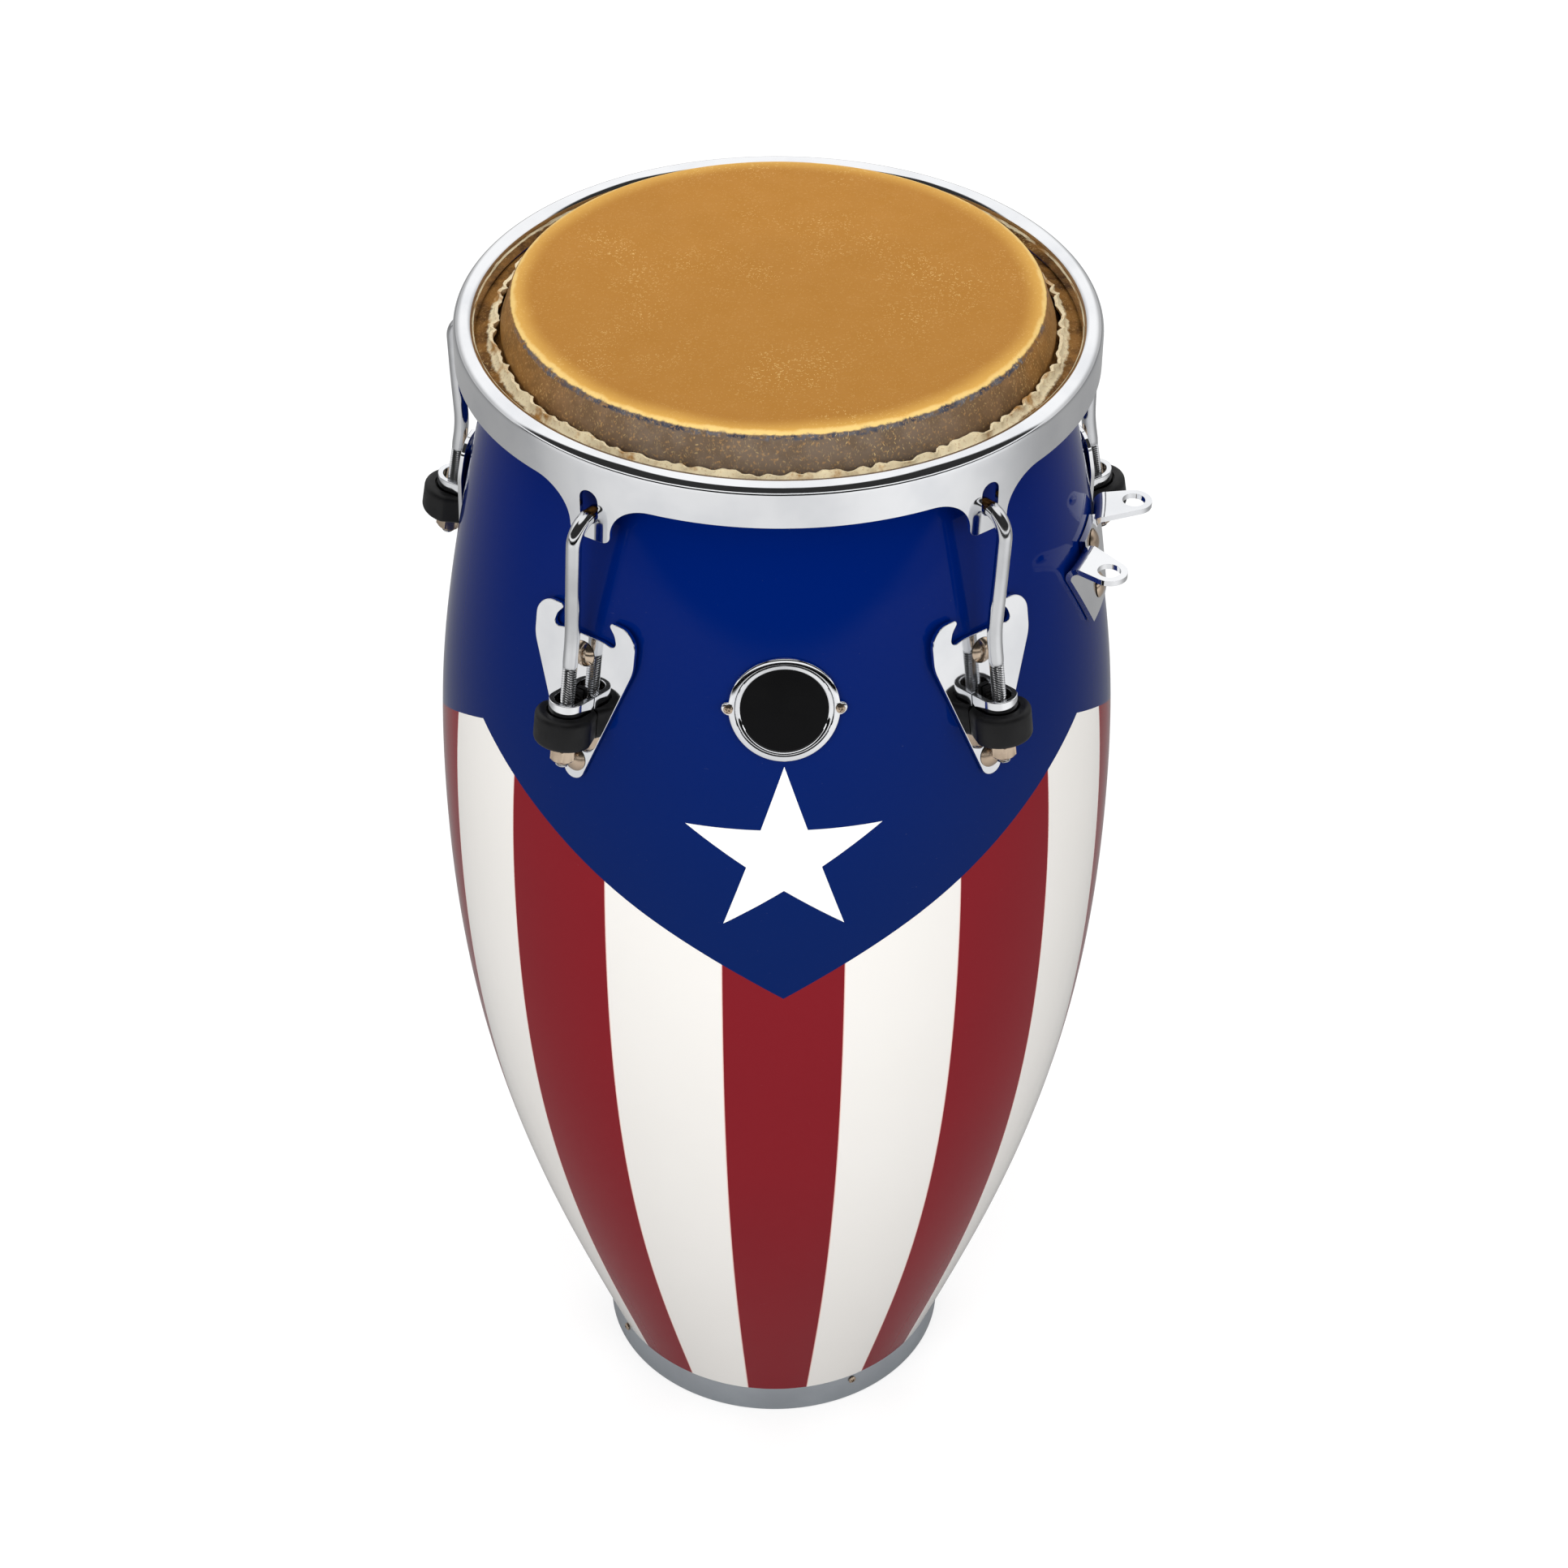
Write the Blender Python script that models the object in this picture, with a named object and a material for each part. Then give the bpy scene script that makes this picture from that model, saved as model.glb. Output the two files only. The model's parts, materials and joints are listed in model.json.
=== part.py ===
"""Quinto conga: a tall barrel drum whose hide head is drawn down by five hooks.

Metres, +Z up. The origin is the centre of the foot on the floor and the badge faces -Y.
Azimuths go round the drum from the badge side, in degrees, positive towards +X.
The pieces of a lug hang in a frame of their own, which leans with the shell: X runs across
the lug, -Y points out of the drum and Z up the side plate. "Out" is a distance along -Y
from the back of the side plate and "up" a distance along Z from the lug's middle.
"""

import math

import bmesh
import bpy
import numpy as np
from mathutils import Matrix, Vector

# Clearances between pieces that touch on the real drum.
GAP = 0.0003
BORE_GAP = 0.00035

# Facets round the drum; every lug stands on one of their corners.
SEGMENTS = 40

# Shell.
HEAD_HEIGHT = 0.762
BELLY_HEIGHT = 0.448
BELLY_RADIUS = 0.1934
FOOT_RADIUS = 0.1079
NECK_RADIUS = 0.1460
NECK_DROP = 0.0240
WALL = 0.0125
# How the shell narrows from the belly: (share of the way, share of the narrowing).
TOWARDS_FOOT = [(0.35, 0.112), (0.70, 0.498)]
TOWARDS_NECK = [(0.27, 0.071), (0.56, 0.334), (0.87, 0.741), (0.95, 0.884)]

# Bearing edge, measured from the top of the head and from the neck.
BEVEL_DROP = 0.0182
BEVEL_INSET = 0.0055
CREST_ROUND = 0.0032
MOUTH_DEPTH = 0.0080

# Foot: rubber ring under the shell's end, metal band round both, four screws.
FOOT_HEIGHT = 0.0062
FOOT_CHAMFER = 0.0012
BAND_LIFT = 0.0012
BAND_HEIGHT = 0.0197
BAND_SHEET = 0.0020
BAND_STEP = 0.0006
BAND_SCREWS = 4
BAND_SCREW_AZIMUTH = 26.5
BAND_SCREW_RISE = 0.0153

# Small screws of the band and the badge.
SCREW_HEAD_RADIUS = 0.0025
SCREW_HEAD_HEIGHT = 0.0014
SCREW_SHANK_RADIUS = 0.0014
SCREW_LENGTH = 0.0085

# Head: hide stretched over the bearing edge and rolled round a steel hoop.
HIDE = 0.0018
HOOP_DROP = 0.0314
HOOP_WIRE = 0.0045
ROLL_STAND = 0.0047
ROLL_STEP = 50.0
ROLL_SLIT = 0.0012
FRINGE_RISE = 0.0127

# Rim: pressed collar that rolls over onto the hoop, with a slotted ear at each lug.
RIM_SHEET = 0.0025
RIM_DROP = 0.0124
SKIRT_CLEARANCE = 0.0042
LEG_OFFSET = 0.0036
SKIRT_LENGTH = 0.0242
EAR_LENGTH = 0.0259
EAR_CHEEK = 0.0067
EAR_ROUND = 0.0050
EAR_FLARE = 0.0235
SLOT_CLEARANCE = 0.0015
SLOT_MARGIN = 0.0093
SLOT_LENGTH = 0.0197
# The rim and the hide sit a little round from the lugs, in degrees, so the hooks lean sideways.
RIM_TURN = 1.25

# Lugs: side plate, receiver strap, bumper, nut, hook, two bolts and a backing bar each.
LUGS = 5
FIRST_LUG_AZIMUTH = 36.0
LUG_DROP = 0.162
PLATE = 0.0025
PLATE_HALF_WIDTH = 0.0319
PLATE_TOP_UP = 0.0515
PLATE_SHOULDER_UP = 0.0280
PLATE_POINT_DOWN = 0.0594
PLATE_POINT_ROUND = 0.0065
PLATE_SHOULDER_ROUND = 0.0250
PLATE_HORN_ROUND = 0.0110
HORN_GAP_HALF_WIDTH = 0.0132
HORN_TIP_ROUND = 0.0018
NOTCH_UP = 0.0370
NOTCH_HALF_WIDTH = 0.0207
NOTCH_ROUND = 0.0025
UPPER_BOLT_UP = 0.0280
LOWER_BOLT_DOWN = 0.0350
ROD_STAND = 0.0108
ROD_RADIUS = 0.0041
THREAD_RADIUS = 0.00395
THREAD_TOP_UP = 0.0250
ROD_FOOT_DOWN = 0.0345
ROD_CHAMFER = 0.0010
KNEE_UP = 0.0420
KNEE_ROUND = 0.1800
HOOK_CLEARANCE = 0.0086
HOOK_ROUND = 0.0122
TIP_CLEARANCE = 0.0018
TIP_ROUND = 0.0055
TIP_LENGTH = 0.0095
STRAP_TOP_UP = 0.0055
STRAP_HEIGHT = 0.0085
STRAP_SHEET = 0.0030
STRAP_CLEARANCE = 0.0027
NUT_FLATS = 0.0127
NUT_LENGTH = 0.0277
COLLAR_RADIUS = 0.0084
COLLAR_HEIGHT = 0.0018
BUMPER_RADIUS = 0.0165
BUMPER_ROOT_HALF_WIDTH = 0.0125
BUMPER_HEIGHT = 0.0162
BUMPER_CHAMFER = 0.0025
BUMPER_CLEARANCE = 0.0007

# Carriage bolts, and the bars with welded nuts that they pull against inside the shell.
BOLT_HEAD_RADIUS = 0.0072
BOLT_HEAD_HEIGHT = 0.0030
BOLT_SHANK_RADIUS = 0.0030
BOLT_SIDES = 10
BOLT_END = 0.0015
BAR_HALF_WIDTH = 0.0080
BAR_MARGIN = 0.0110
BAR_SHEET = 0.0020
WELD_NUT_FLATS = 0.0110
WELD_NUT_HEIGHT = 0.0050

# Stand bracket: curved plate between two lugs, with two tabs bent outwards. A tab's round end
# stands about its hole, which is splayed sideways from the middle of the tab's root.
BRACKET_AZIMUTH = 73.6
BRACKET_DROP = 0.1220
BRACKET_HEIGHT = 0.0485
BRACKET_FOOT_HALF_WIDTH = 0.0172
BRACKET_SHEET = 0.0032
BRACKET_UPPER_BOLT = 0.0085
BRACKET_LOWER_BOLT = 0.0360
TAB_SPREAD = 0.0260
TAB_DROP = 0.0008
TAB_HALF_WIDTH = 0.0125
TAB_BEND = 0.0040
TAB_REACH = 0.0190
TAB_SPLAY = 0.0067
TAB_END_RADIUS = 0.0101
TAB_HOLE_RADIUS = 0.0063

# Badge: round plate, bent to the shell, with a raised border and two screw ears.
BADGE_DROP = 0.1465
BADGE_RADIUS = 0.0291
BADGE_FIELD_RADIUS = 0.0235
BADGE_SHEET = 0.0012
BADGE_BORDER = 0.0006
BADGE_EAR_RADIUS = 0.0036
BADGE_CLEARANCE = 0.0005

FINISHES = {
    "lacquer": ((0.004, 0.016, 0.160), 0.10, 0.0),
    "hide": ((0.550, 0.270, 0.070), 0.55, 0.0),
    "chrome": ((0.820, 0.830, 0.850), 0.08, 1.0),
    "steel": ((0.550, 0.550, 0.560), 0.35, 1.0),
    "nickel": ((0.760, 0.680, 0.580), 0.22, 1.0),
    "rubber": ((0.012, 0.012, 0.013), 0.60, 0.0),
    "band": ((0.500, 0.540, 0.580), 0.38, 1.0),
}


# Points and curves.

def spaced(first, last, count):
    """Evenly spaced numbers from first to last."""
    return [float(value) for value in np.linspace(first, last, count)]


def around(radius, azimuth, height):
    """Point at a radius and a height, at an azimuth in degrees."""
    angle = math.radians(azimuth)
    return Vector((radius * math.sin(angle), -radius * math.cos(angle), height))


def circle(radius, count, start=0.0):
    """Corners of a regular polygon; the start angle is in degrees."""
    angles = [math.radians(start + 360 * i / count) for i in range(count)]
    return [(radius * math.cos(angle), radius * math.sin(angle)) for angle in angles]


def arc(centre, radius, start, end, count):
    """Points on an arc, between two angles in degrees."""
    points = []
    for angle in spaced(math.radians(start), math.radians(end), count):
        x = centre[0] + radius * math.cos(angle)
        points.append((x, centre[1] + radius * math.sin(angle)))
    return points


def corner_arc(before, corner, after, radius, steps):
    """Round a corner between two points; the radius is limited by the shorter side."""
    corner = Vector(corner)
    back = Vector(before) - corner
    ahead = Vector(after) - corner
    half = back.angle(ahead) / 2
    radius = min(radius, 0.6 * min(back.length, ahead.length) * math.tan(half))
    back.normalize()
    ahead.normalize()
    centre = corner + (back + ahead).normalized() * radius / math.sin(half)
    first = corner + back * radius / math.tan(half) - centre
    last = corner + ahead * radius / math.tan(half) - centre
    sweep = math.pi - 2 * half
    points = []
    for share in spaced(0, 1, steps + 1):
        turned = first * math.sin((1 - share) * sweep) + last * math.sin(share * sweep)
        points.append(centre + turned / math.sin(sweep))
    return points


def rounded_outline(corners):
    """Closed outline from (x, y, corner radius, steps) corners."""
    outline = []
    for i, (x, y, radius, steps) in enumerate(corners):
        before = corners[i - 1][:2]
        after = corners[(i + 1) % len(corners)][:2]
        outline += [tuple(point) for point in corner_arc(before, (x, y), after, radius, steps)]
    return outline


def offset_line(points, distance):
    """Shift an open line of (x, y) points to its right, with mitred corners."""
    shifted = []
    for i, point in enumerate(points):
        normals = []
        for a, b in ((i - 1, i), (i, i + 1)):
            if a >= 0 and b < len(points):
                along = (Vector(points[b]) - Vector(points[a])).normalized()
                normals.append(Vector((along.y, -along.x)))
        middle = sum(normals, Vector((0, 0))).normalized()
        shifted.append(tuple(Vector(point) + middle * distance / middle.dot(normals[0])))
    return shifted


def strip_outline(line, thickness):
    """Closed outline of a sheet whose middle follows a line."""
    return offset_line(line, thickness / 2) + offset_line(line, -thickness / 2)[::-1]


def smooth_curve(points):
    """Natural cubic curve through (x, y) points, as a function of x."""
    xs = np.array([point[0] for point in points])
    ys = np.array([point[1] for point in points])
    steps = np.diff(xs)
    slopes = np.diff(ys) / steps
    system = np.eye(len(xs))
    pull = np.zeros(len(xs))
    for i in range(1, len(xs) - 1):
        system[i, i - 1:i + 2] = (steps[i - 1], 2 * (steps[i - 1] + steps[i]), steps[i])
        pull[i] = 6 * (slopes[i] - slopes[i - 1])
    bends = np.linalg.solve(system, pull)

    def value(x):
        i = min(max(int(np.searchsorted(xs, x)) - 1, 0), len(steps) - 1)
        after = (x - xs[i]) / steps[i]
        before = 1 - after
        sag = (before ** 3 - before) * bends[i] + (after ** 3 - after) * bends[i + 1]
        return float(before * ys[i] + after * ys[i + 1] + sag * steps[i] ** 2 / 6)

    return value


# Sizes that follow from the driving ones.

BAND_TOP = BAND_LIFT + BAND_HEIGHT + GAP
NECK_HEIGHT = HEAD_HEIGHT - NECK_DROP
BEVEL_FOOT = HEAD_HEIGHT - BEVEL_DROP
CREST_HEIGHT = HEAD_HEIGHT - HIDE - GAP
BAND_OUTER = FOOT_RADIUS - BAND_STEP
SEAT_RADIUS = BAND_OUTER - BAND_SHEET - GAP
SIDE_WALL_OUTER = NECK_RADIUS + GAP + HIDE
HOOP_RADIUS = SIDE_WALL_OUTER + ROLL_STAND + HIDE + GAP + HOOP_WIRE
HOOP_HEIGHT = HEAD_HEIGHT - HOOP_DROP
ROLL_RADIUS = (HOOP_WIRE + GAP + HIDE / 2) / math.cos(math.radians(ROLL_STEP / 2))
ROLL_TOP = HOOP_HEIGHT + ROLL_RADIUS + HIDE / 2
SKIRT_INNER = HOOP_RADIUS + ROLL_RADIUS + HIDE / 2 + SKIRT_CLEARANCE
RIM_RADIUS = SKIRT_INNER + RIM_SHEET
RIM_TOP = HEAD_HEIGHT - RIM_DROP
SKIRT_FOOT = RIM_TOP - SKIRT_LENGTH
EAR_FOOT = SKIRT_FOOT - EAR_LENGTH
SLOT_FOOT = EAR_FOOT + SLOT_MARGIN
SLOT_HALF_WIDTH = ROD_RADIUS + SLOT_CLEARANCE
EAR_HALF_WIDTH = SLOT_HALF_WIDTH + EAR_CHEEK
HOOK_HEIGHT = SLOT_FOOT + GAP + ROD_RADIUS
HOOK_RADIUS = RIM_RADIUS + HOOK_CLEARANCE + ROD_RADIUS
TIP_RADIUS = SKIRT_INNER - TIP_CLEARANCE - ROD_RADIUS
LUG_HEIGHT = HEAD_HEIGHT - LUG_DROP
ROD_OUT = PLATE + ROD_STAND
STRAP_FOOT_UP = STRAP_TOP_UP - STRAP_HEIGHT
NUT_TOP_UP = STRAP_FOOT_UP - GAP
BOLT_UPS = (UPPER_BOLT_UP, -LOWER_BOLT_DOWN)
BAR_FOOT_UP = -LOWER_BOLT_DOWN - BAR_MARGIN
BAR_TOP_UP = UPPER_BOLT_UP + BAR_MARGIN
BRACKET_TOP = HEAD_HEIGHT - BRACKET_DROP
BRACKET_FOOT = BRACKET_TOP - BRACKET_HEIGHT
TAB_TOP = BRACKET_TOP - TAB_DROP
BADGE_HEIGHT = HEAD_HEIGHT - BADGE_DROP


def shell_stations():
    """(height, radius) corners of the shell's outer curve, from the band up to the neck."""
    points = [(BELLY_HEIGHT, BELLY_RADIUS)]
    for way, narrowing in TOWARDS_FOOT + [(1.0, 1.0)]:
        height = BELLY_HEIGHT + way * (BAND_TOP - BELLY_HEIGHT)
        points.insert(0, (height, BELLY_RADIUS + narrowing * (FOOT_RADIUS - BELLY_RADIUS)))
    for way, narrowing in TOWARDS_NECK + [(1.0, 1.0)]:
        height = BELLY_HEIGHT + way * (NECK_HEIGHT - BELLY_HEIGHT)
        points.append((height, BELLY_RADIUS + narrowing * (NECK_RADIUS - BELLY_RADIUS)))
    curve = smooth_curve(points)
    heights = spaced(BAND_TOP, BELLY_HEIGHT, 7)[:-1] + spaced(BELLY_HEIGHT, NECK_HEIGHT, 8)
    return [(height, curve(height)) for height in heights]


STATIONS = shell_stations()


def shell_radius(height):
    """Outer radius of the shell at a height, on a corner of its facets."""
    heights, radii = zip(*STATIONS)
    return float(np.interp(height, heights, radii))


def leaning_frame(azimuth, radius, height, tilt):
    """Frame on the shell whose Z leans in with the wall and whose -Y points out of it."""
    turn = Matrix.Rotation(math.radians(azimuth), 4, "Z")
    return turn @ Matrix.Translation((0, -radius, height)) @ Matrix.Rotation(-tilt, 4, "X")


class WallPlane:
    """Plane that just clears the shell's outside between two heights."""

    def __init__(self, low, high, middle):
        heights = spaced(low, high, 80)
        self.middle = middle
        self.tilt = math.atan2(shell_radius(low) - shell_radius(high), high - low)
        slope = math.tan(self.tilt)
        bulge = max(shell_radius(height) + (height - middle) * slope for height in heights)
        self.radius = bulge + GAP / math.cos(self.tilt)

    def frame(self, azimuth):
        """Frame in the plane, at its middle height and an azimuth."""
        return leaning_frame(azimuth, self.radius, self.middle, self.tilt)

    def local(self, radius, height):
        """(out, up) of a point in the vertical plane through the drum's axis."""
        outward = radius - self.radius
        upward = height - self.middle
        out = outward * math.cos(self.tilt) + upward * math.sin(self.tilt)
        return out, upward * math.cos(self.tilt) - outward * math.sin(self.tilt)

    def up_at(self, height):
        """Distance up the plane of a height."""
        return (height - self.middle) / math.cos(self.tilt)

    def depth_inside(self, low_up, high_up, half_width):
        """Distance in from the plane at which a flat bar clears the shell's inside."""
        depth = 0.0
        for up in spaced(low_up, high_up, 40):
            for _ in range(3):
                height = self.middle - depth * math.sin(self.tilt) + up * math.cos(self.tilt)
                inner = (shell_radius(height) - WALL) * math.cos(math.pi / SEGMENTS) - GAP
                reach = math.sqrt(inner ** 2 - half_width ** 2)
                needed = self.radius - up * math.sin(self.tilt) - reach
                depth = max(depth, needed / math.cos(self.tilt))
        return depth


LUG_PLANE = WallPlane(LUG_HEIGHT + BAR_FOOT_UP, LUG_HEIGHT + PLATE_TOP_UP, LUG_HEIGHT)
BRACKET_PLANE = WallPlane(BRACKET_FOOT, BRACKET_TOP, (BRACKET_FOOT + BRACKET_TOP) / 2)
LUG_AZIMUTHS = [FIRST_LUG_AZIMUTH + 360 * i / LUGS for i in range(LUGS)]


# Meshes: each helper returns a bmesh of closed bodies.

def closed(mesh):
    """Point every face outwards."""
    bmesh.ops.recalc_face_normals(mesh, faces=mesh.faces)
    return mesh


def ring_body(rings):
    """Body whose rings each join the next and the last the first; a ring may be one point."""
    mesh = bmesh.new()
    rows = [[mesh.verts.new(point) for point in ring] for ring in rings]
    for row, following in zip(rows, rows[1:] + rows[:1]):
        for i in range(max(len(row), len(following))):
            corners = [row[i % len(row)], row[(i + 1) % len(row)]]
            corners += [following[(i + 1) % len(following)], following[i % len(following)]]
            corners = list(dict.fromkeys(corners))
            if len(corners) > 2:
                mesh.faces.new(corners)
    return closed(mesh)


def revolve(profile, segments=SEGMENTS):
    """Turn a closed outline of (radius, height) points about Z."""
    rings = []
    for radius, height in profile:
        count = segments if radius > 1e-7 else 1
        rings.append([around(radius, 360 * i / count, height) for i in range(count)])
    return ring_body(rings)


def loft(rings):
    """Body through rings of equal length, capped at both ends."""
    mesh = bmesh.new()
    rows = [[mesh.verts.new(point) for point in ring] for ring in rings]
    mesh.faces.new(rows[0])
    mesh.faces.new(rows[-1])
    for row, following in zip(rows, rows[1:]):
        for i, corner in enumerate(row):
            j = (i + 1) % len(row)
            mesh.faces.new((corner, row[j], following[j], following[i]))
    return closed(mesh)


def prism(outline, bottom, top):
    """Raise a closed (x, y) outline from bottom to top along Z."""
    return loft([[(x, y, height) for x, y in outline] for height in (bottom, top)])


def sweep(path, radii, sides):
    """Round bar along a path that stays near the YZ plane, with a radius for each point."""
    rings = []
    for i, (point, radius) in enumerate(zip(path, radii)):
        along = (path[min(i + 1, len(path) - 1)] - path[max(i - 1, 0)]).normalized()
        normal = Vector((1, 0, 0)).cross(along).normalized()
        across = along.cross(normal)
        corners = circle(radius, sides, 180 / sides)
        rings.append([point + across * x + normal * y for x, y in corners])
    return loft(rings)


def moved(mesh, matrix):
    """Transform a mesh by a 4 x 4 matrix."""
    bmesh.ops.transform(mesh, matrix=matrix, verts=mesh.verts)
    return mesh


def outwards(mesh):
    """Turn a mesh built along +Z so that it points along -Y, with its Y upwards."""
    return moved(mesh, Matrix.Rotation(math.radians(90), 4, "X"))


def together(meshes):
    """Put several separate bodies in one mesh, as a set of cutters."""
    result = bmesh.new()
    for mesh in meshes:
        data = bpy.data.meshes.new("piece")
        mesh.to_mesh(data)
        mesh.free()
        result.from_mesh(data)
        bpy.data.meshes.remove(data)
    return result


def combined(first, second, operation):
    """Boolean of two meshes; the operation is UNION or DIFFERENCE."""
    bodies = []
    for mesh in (first, second):
        data = bpy.data.meshes.new("body")
        mesh.to_mesh(data)
        mesh.free()
        bodies.append(bpy.data.objects.new("body", data))
        bpy.context.scene.collection.objects.link(bodies[-1])
    boolean = bodies[0].modifiers.new("combine", "BOOLEAN")
    boolean.operation = operation
    boolean.solver = "EXACT"
    boolean.object = bodies[1]
    evaluated = bodies[0].evaluated_get(bpy.context.evaluated_depsgraph_get())
    result = bmesh.new()
    result.from_mesh(evaluated.data)
    for body in bodies:
        data = body.data
        bpy.data.objects.remove(body)
        bpy.data.meshes.remove(data)
    return result


def hole(radius, start, end, sides=BOLT_SIDES):
    """Cutter for a hole along -Y, between two distances out."""
    return outwards(prism(circle(radius, sides, 90), start, end))


# Objects.

def new_material(finish):
    """Principled material of a finish."""
    colour, roughness, metallic = FINISHES[finish]
    material = bpy.data.materials.new(finish)
    material.use_nodes = True
    shader = material.node_tree.nodes["Principled BSDF"]
    shader.inputs["Base Color"].default_value = (*colour, 1)
    shader.inputs["Roughness"].default_value = roughness
    shader.inputs["Metallic"].default_value = metallic
    material.diffuse_color = (*colour, 1)
    return material


def mesh_data(name, mesh):
    """Mesh data, shaded smooth between its folds, with a slot for a material."""
    data = bpy.data.meshes.new(name)
    mesh.to_mesh(data)
    mesh.free()
    data.shade_smooth()
    data.set_sharp_from_angle(angle=math.radians(35))
    data.materials.append(None)
    return data


def add(name, data, finish, parent=None, matrix=Matrix.Identity(4)):
    """Add an object with its own material, placed in its parent's frame by a matrix."""
    body = bpy.data.objects.new(name, data)
    bpy.context.scene.collection.objects.link(body)
    body.material_slots[0].link = "OBJECT"
    body.material_slots[0].material = new_material(finish)
    body.parent = parent
    body.matrix_local = matrix
    return body


def add_frame(name, matrix):
    """Add an empty that carries the pieces of one group."""
    frame = bpy.data.objects.new(name, None)
    frame.empty_display_size = 0.02
    bpy.context.scene.collection.objects.link(frame)
    frame.matrix_world = matrix
    return frame


# Shell and head.

def bearing_edge():
    """Outside of the shell's top, from the foot of its bevel over the crest."""
    foot = (NECK_RADIUS, BEVEL_FOOT)
    crest = (NECK_RADIUS - BEVEL_INSET, CREST_HEIGHT)
    inside = (NECK_RADIUS - WALL, CREST_HEIGHT)
    return [foot] + [tuple(point) for point in corner_arc(foot, crest, inside, CREST_ROUND, 3)]


def shell_mesh(cutters):
    """Barrel wall, open at both ends, drilled by the cutters."""
    outer = [(SEAT_RADIUS, FOOT_HEIGHT + GAP), (SEAT_RADIUS, BAND_TOP)]
    outer += [(radius, height) for height, radius in STATIONS] + bearing_edge()
    mouth = NECK_RADIUS - WALL
    inner = [((mouth + outer[-1][0]) / 2, CREST_HEIGHT - MOUTH_DEPTH / 4)]
    inner += [(mouth, CREST_HEIGHT - MOUTH_DEPTH)]
    inner += [(radius - WALL, height) for height, radius in STATIONS[::-1]]
    inner += [(SEAT_RADIUS - WALL, FOOT_HEIGHT + GAP)]
    return combined(revolve(outer + inner), together(cutters), "DIFFERENCE")


def head_skin_mesh():
    """Stretched hide: flat membrane, fold over the bearing edge and side wall."""
    line = [(NECK_RADIUS, NECK_HEIGHT + GAP)] + bearing_edge() + [(0, CREST_HEIGHT)]
    return revolve(offset_line(line, GAP) + offset_line(line, GAP + HIDE)[::-1])


def hide_tuck_mesh():
    """Strip of hide from the cut fringe over the hoop, round it and up again inside."""
    hoop = (HOOP_RADIUS, HOOP_HEIGHT)
    wrap = arc(hoop, ROLL_RADIUS, 95, 95 - 5 * ROLL_STEP, 6)
    side = SIDE_WALL_OUTER + GAP + HIDE / 2
    tip = (side + GAP, HOOP_HEIGHT + FRINGE_RISE)
    bend = (side + HIDE + ROLL_SLIT, ROLL_TOP + HIDE)
    lining = (side + HIDE / 2 + ROLL_SLIT, HOOP_HEIGHT + HOOP_WIRE / 2)
    tail = (side + GAP, ROLL_TOP - ROLL_SLIT)
    return revolve(strip_outline([tip, bend] + wrap + [lining, tail], HIDE))


def flesh_hoop_mesh():
    """Steel ring inside the rolled hide."""
    profile = circle(HOOP_WIRE, 8, 22.5)
    return revolve([(HOOP_RADIUS + x, HOOP_HEIGHT + y) for x, y in profile])


# Rim.

def ear_edge(offset):
    """Height of the skirt's lower edge at a distance along it from an ear's middle."""
    flare_height = EAR_LENGTH - EAR_ROUND
    if offset <= EAR_HALF_WIDTH:
        over = max(0.0, offset - EAR_HALF_WIDTH + EAR_ROUND)
        return EAR_FOOT + EAR_ROUND - math.sqrt(EAR_ROUND ** 2 - over ** 2)
    left = max(0.0, 1 - (offset - EAR_HALF_WIDTH) / EAR_FLARE)
    return SKIRT_FOOT - flare_height * (1 - math.sqrt(1 - left ** 2))


def skirt_cutter():
    """Ring that trims the skirt from below to its row of ears."""
    turns = [math.radians(angle) for angle in (0, 30, 60, 90)]
    offsets = [EAR_HALF_WIDTH - EAR_ROUND * (1 - math.sin(turn)) for turn in turns]
    turns = [math.radians(angle) for angle in (15, 33, 52, 71, 90)]
    offsets += [EAR_HALF_WIDTH + EAR_FLARE * (1 - math.cos(turn)) for turn in turns]
    half = [math.degrees(offset / RIM_RADIUS) for offset in offsets]
    half += spaced(half[-1], 180 / LUGS, 5)[1:-1]
    steps = [-step for step in reversed(half)] + half
    inner = SKIRT_INNER - RIM_SHEET
    outer = RIM_RADIUS + RIM_SHEET
    bottom = EAR_FOOT - 2 * RIM_SHEET
    rings = []
    for azimuth in LUG_AZIMUTHS:
        for step in steps:
            top = ear_edge(math.radians(abs(step)) * RIM_RADIUS)
            corners = [(inner, bottom), (outer, bottom), (outer, top), (inner, top)]
            rings.append([around(radius, azimuth + step, height) for radius, height in corners])
    return ring_body(rings)


def slot_cutter(azimuth):
    """Round-ended slot through an ear."""
    low = SLOT_FOOT + SLOT_HALF_WIDTH
    high = SLOT_FOOT + SLOT_LENGTH - SLOT_HALF_WIDTH
    outline = arc((0, high), SLOT_HALF_WIDTH, 0, 180, 7)
    outline += arc((0, low), SLOT_HALF_WIDTH, 180, 360, 7)
    cutter = outwards(prism(outline, SKIRT_INNER - RIM_SHEET, RIM_RADIUS + RIM_SHEET))
    return moved(cutter, Matrix.Rotation(math.radians(azimuth), 4, "Z"))


def rim_mesh():
    """Collar: skirt with its ears, roll over the top, and a leg down onto the rolled hide."""
    skirt = RIM_RADIUS - RIM_SHEET / 2
    leg = HOOP_RADIUS + LEG_OFFSET
    roll = (skirt - leg) / 2
    centre = (leg + roll, RIM_TOP - RIM_SHEET / 2 - roll)
    line = [(skirt, EAR_FOOT - RIM_SHEET)] + arc(centre, roll, 0, 180, 6)
    line += [(leg, ROLL_TOP + GAP)]
    body = combined(revolve(strip_outline(line, RIM_SHEET)), skirt_cutter(), "DIFFERENCE")
    slots = together([slot_cutter(azimuth) for azimuth in LUG_AZIMUTHS])
    return combined(body, slots, "DIFFERENCE")


# Lugs. The pieces round the rod are built about its axis, which stands ROD_OUT out.

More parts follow.
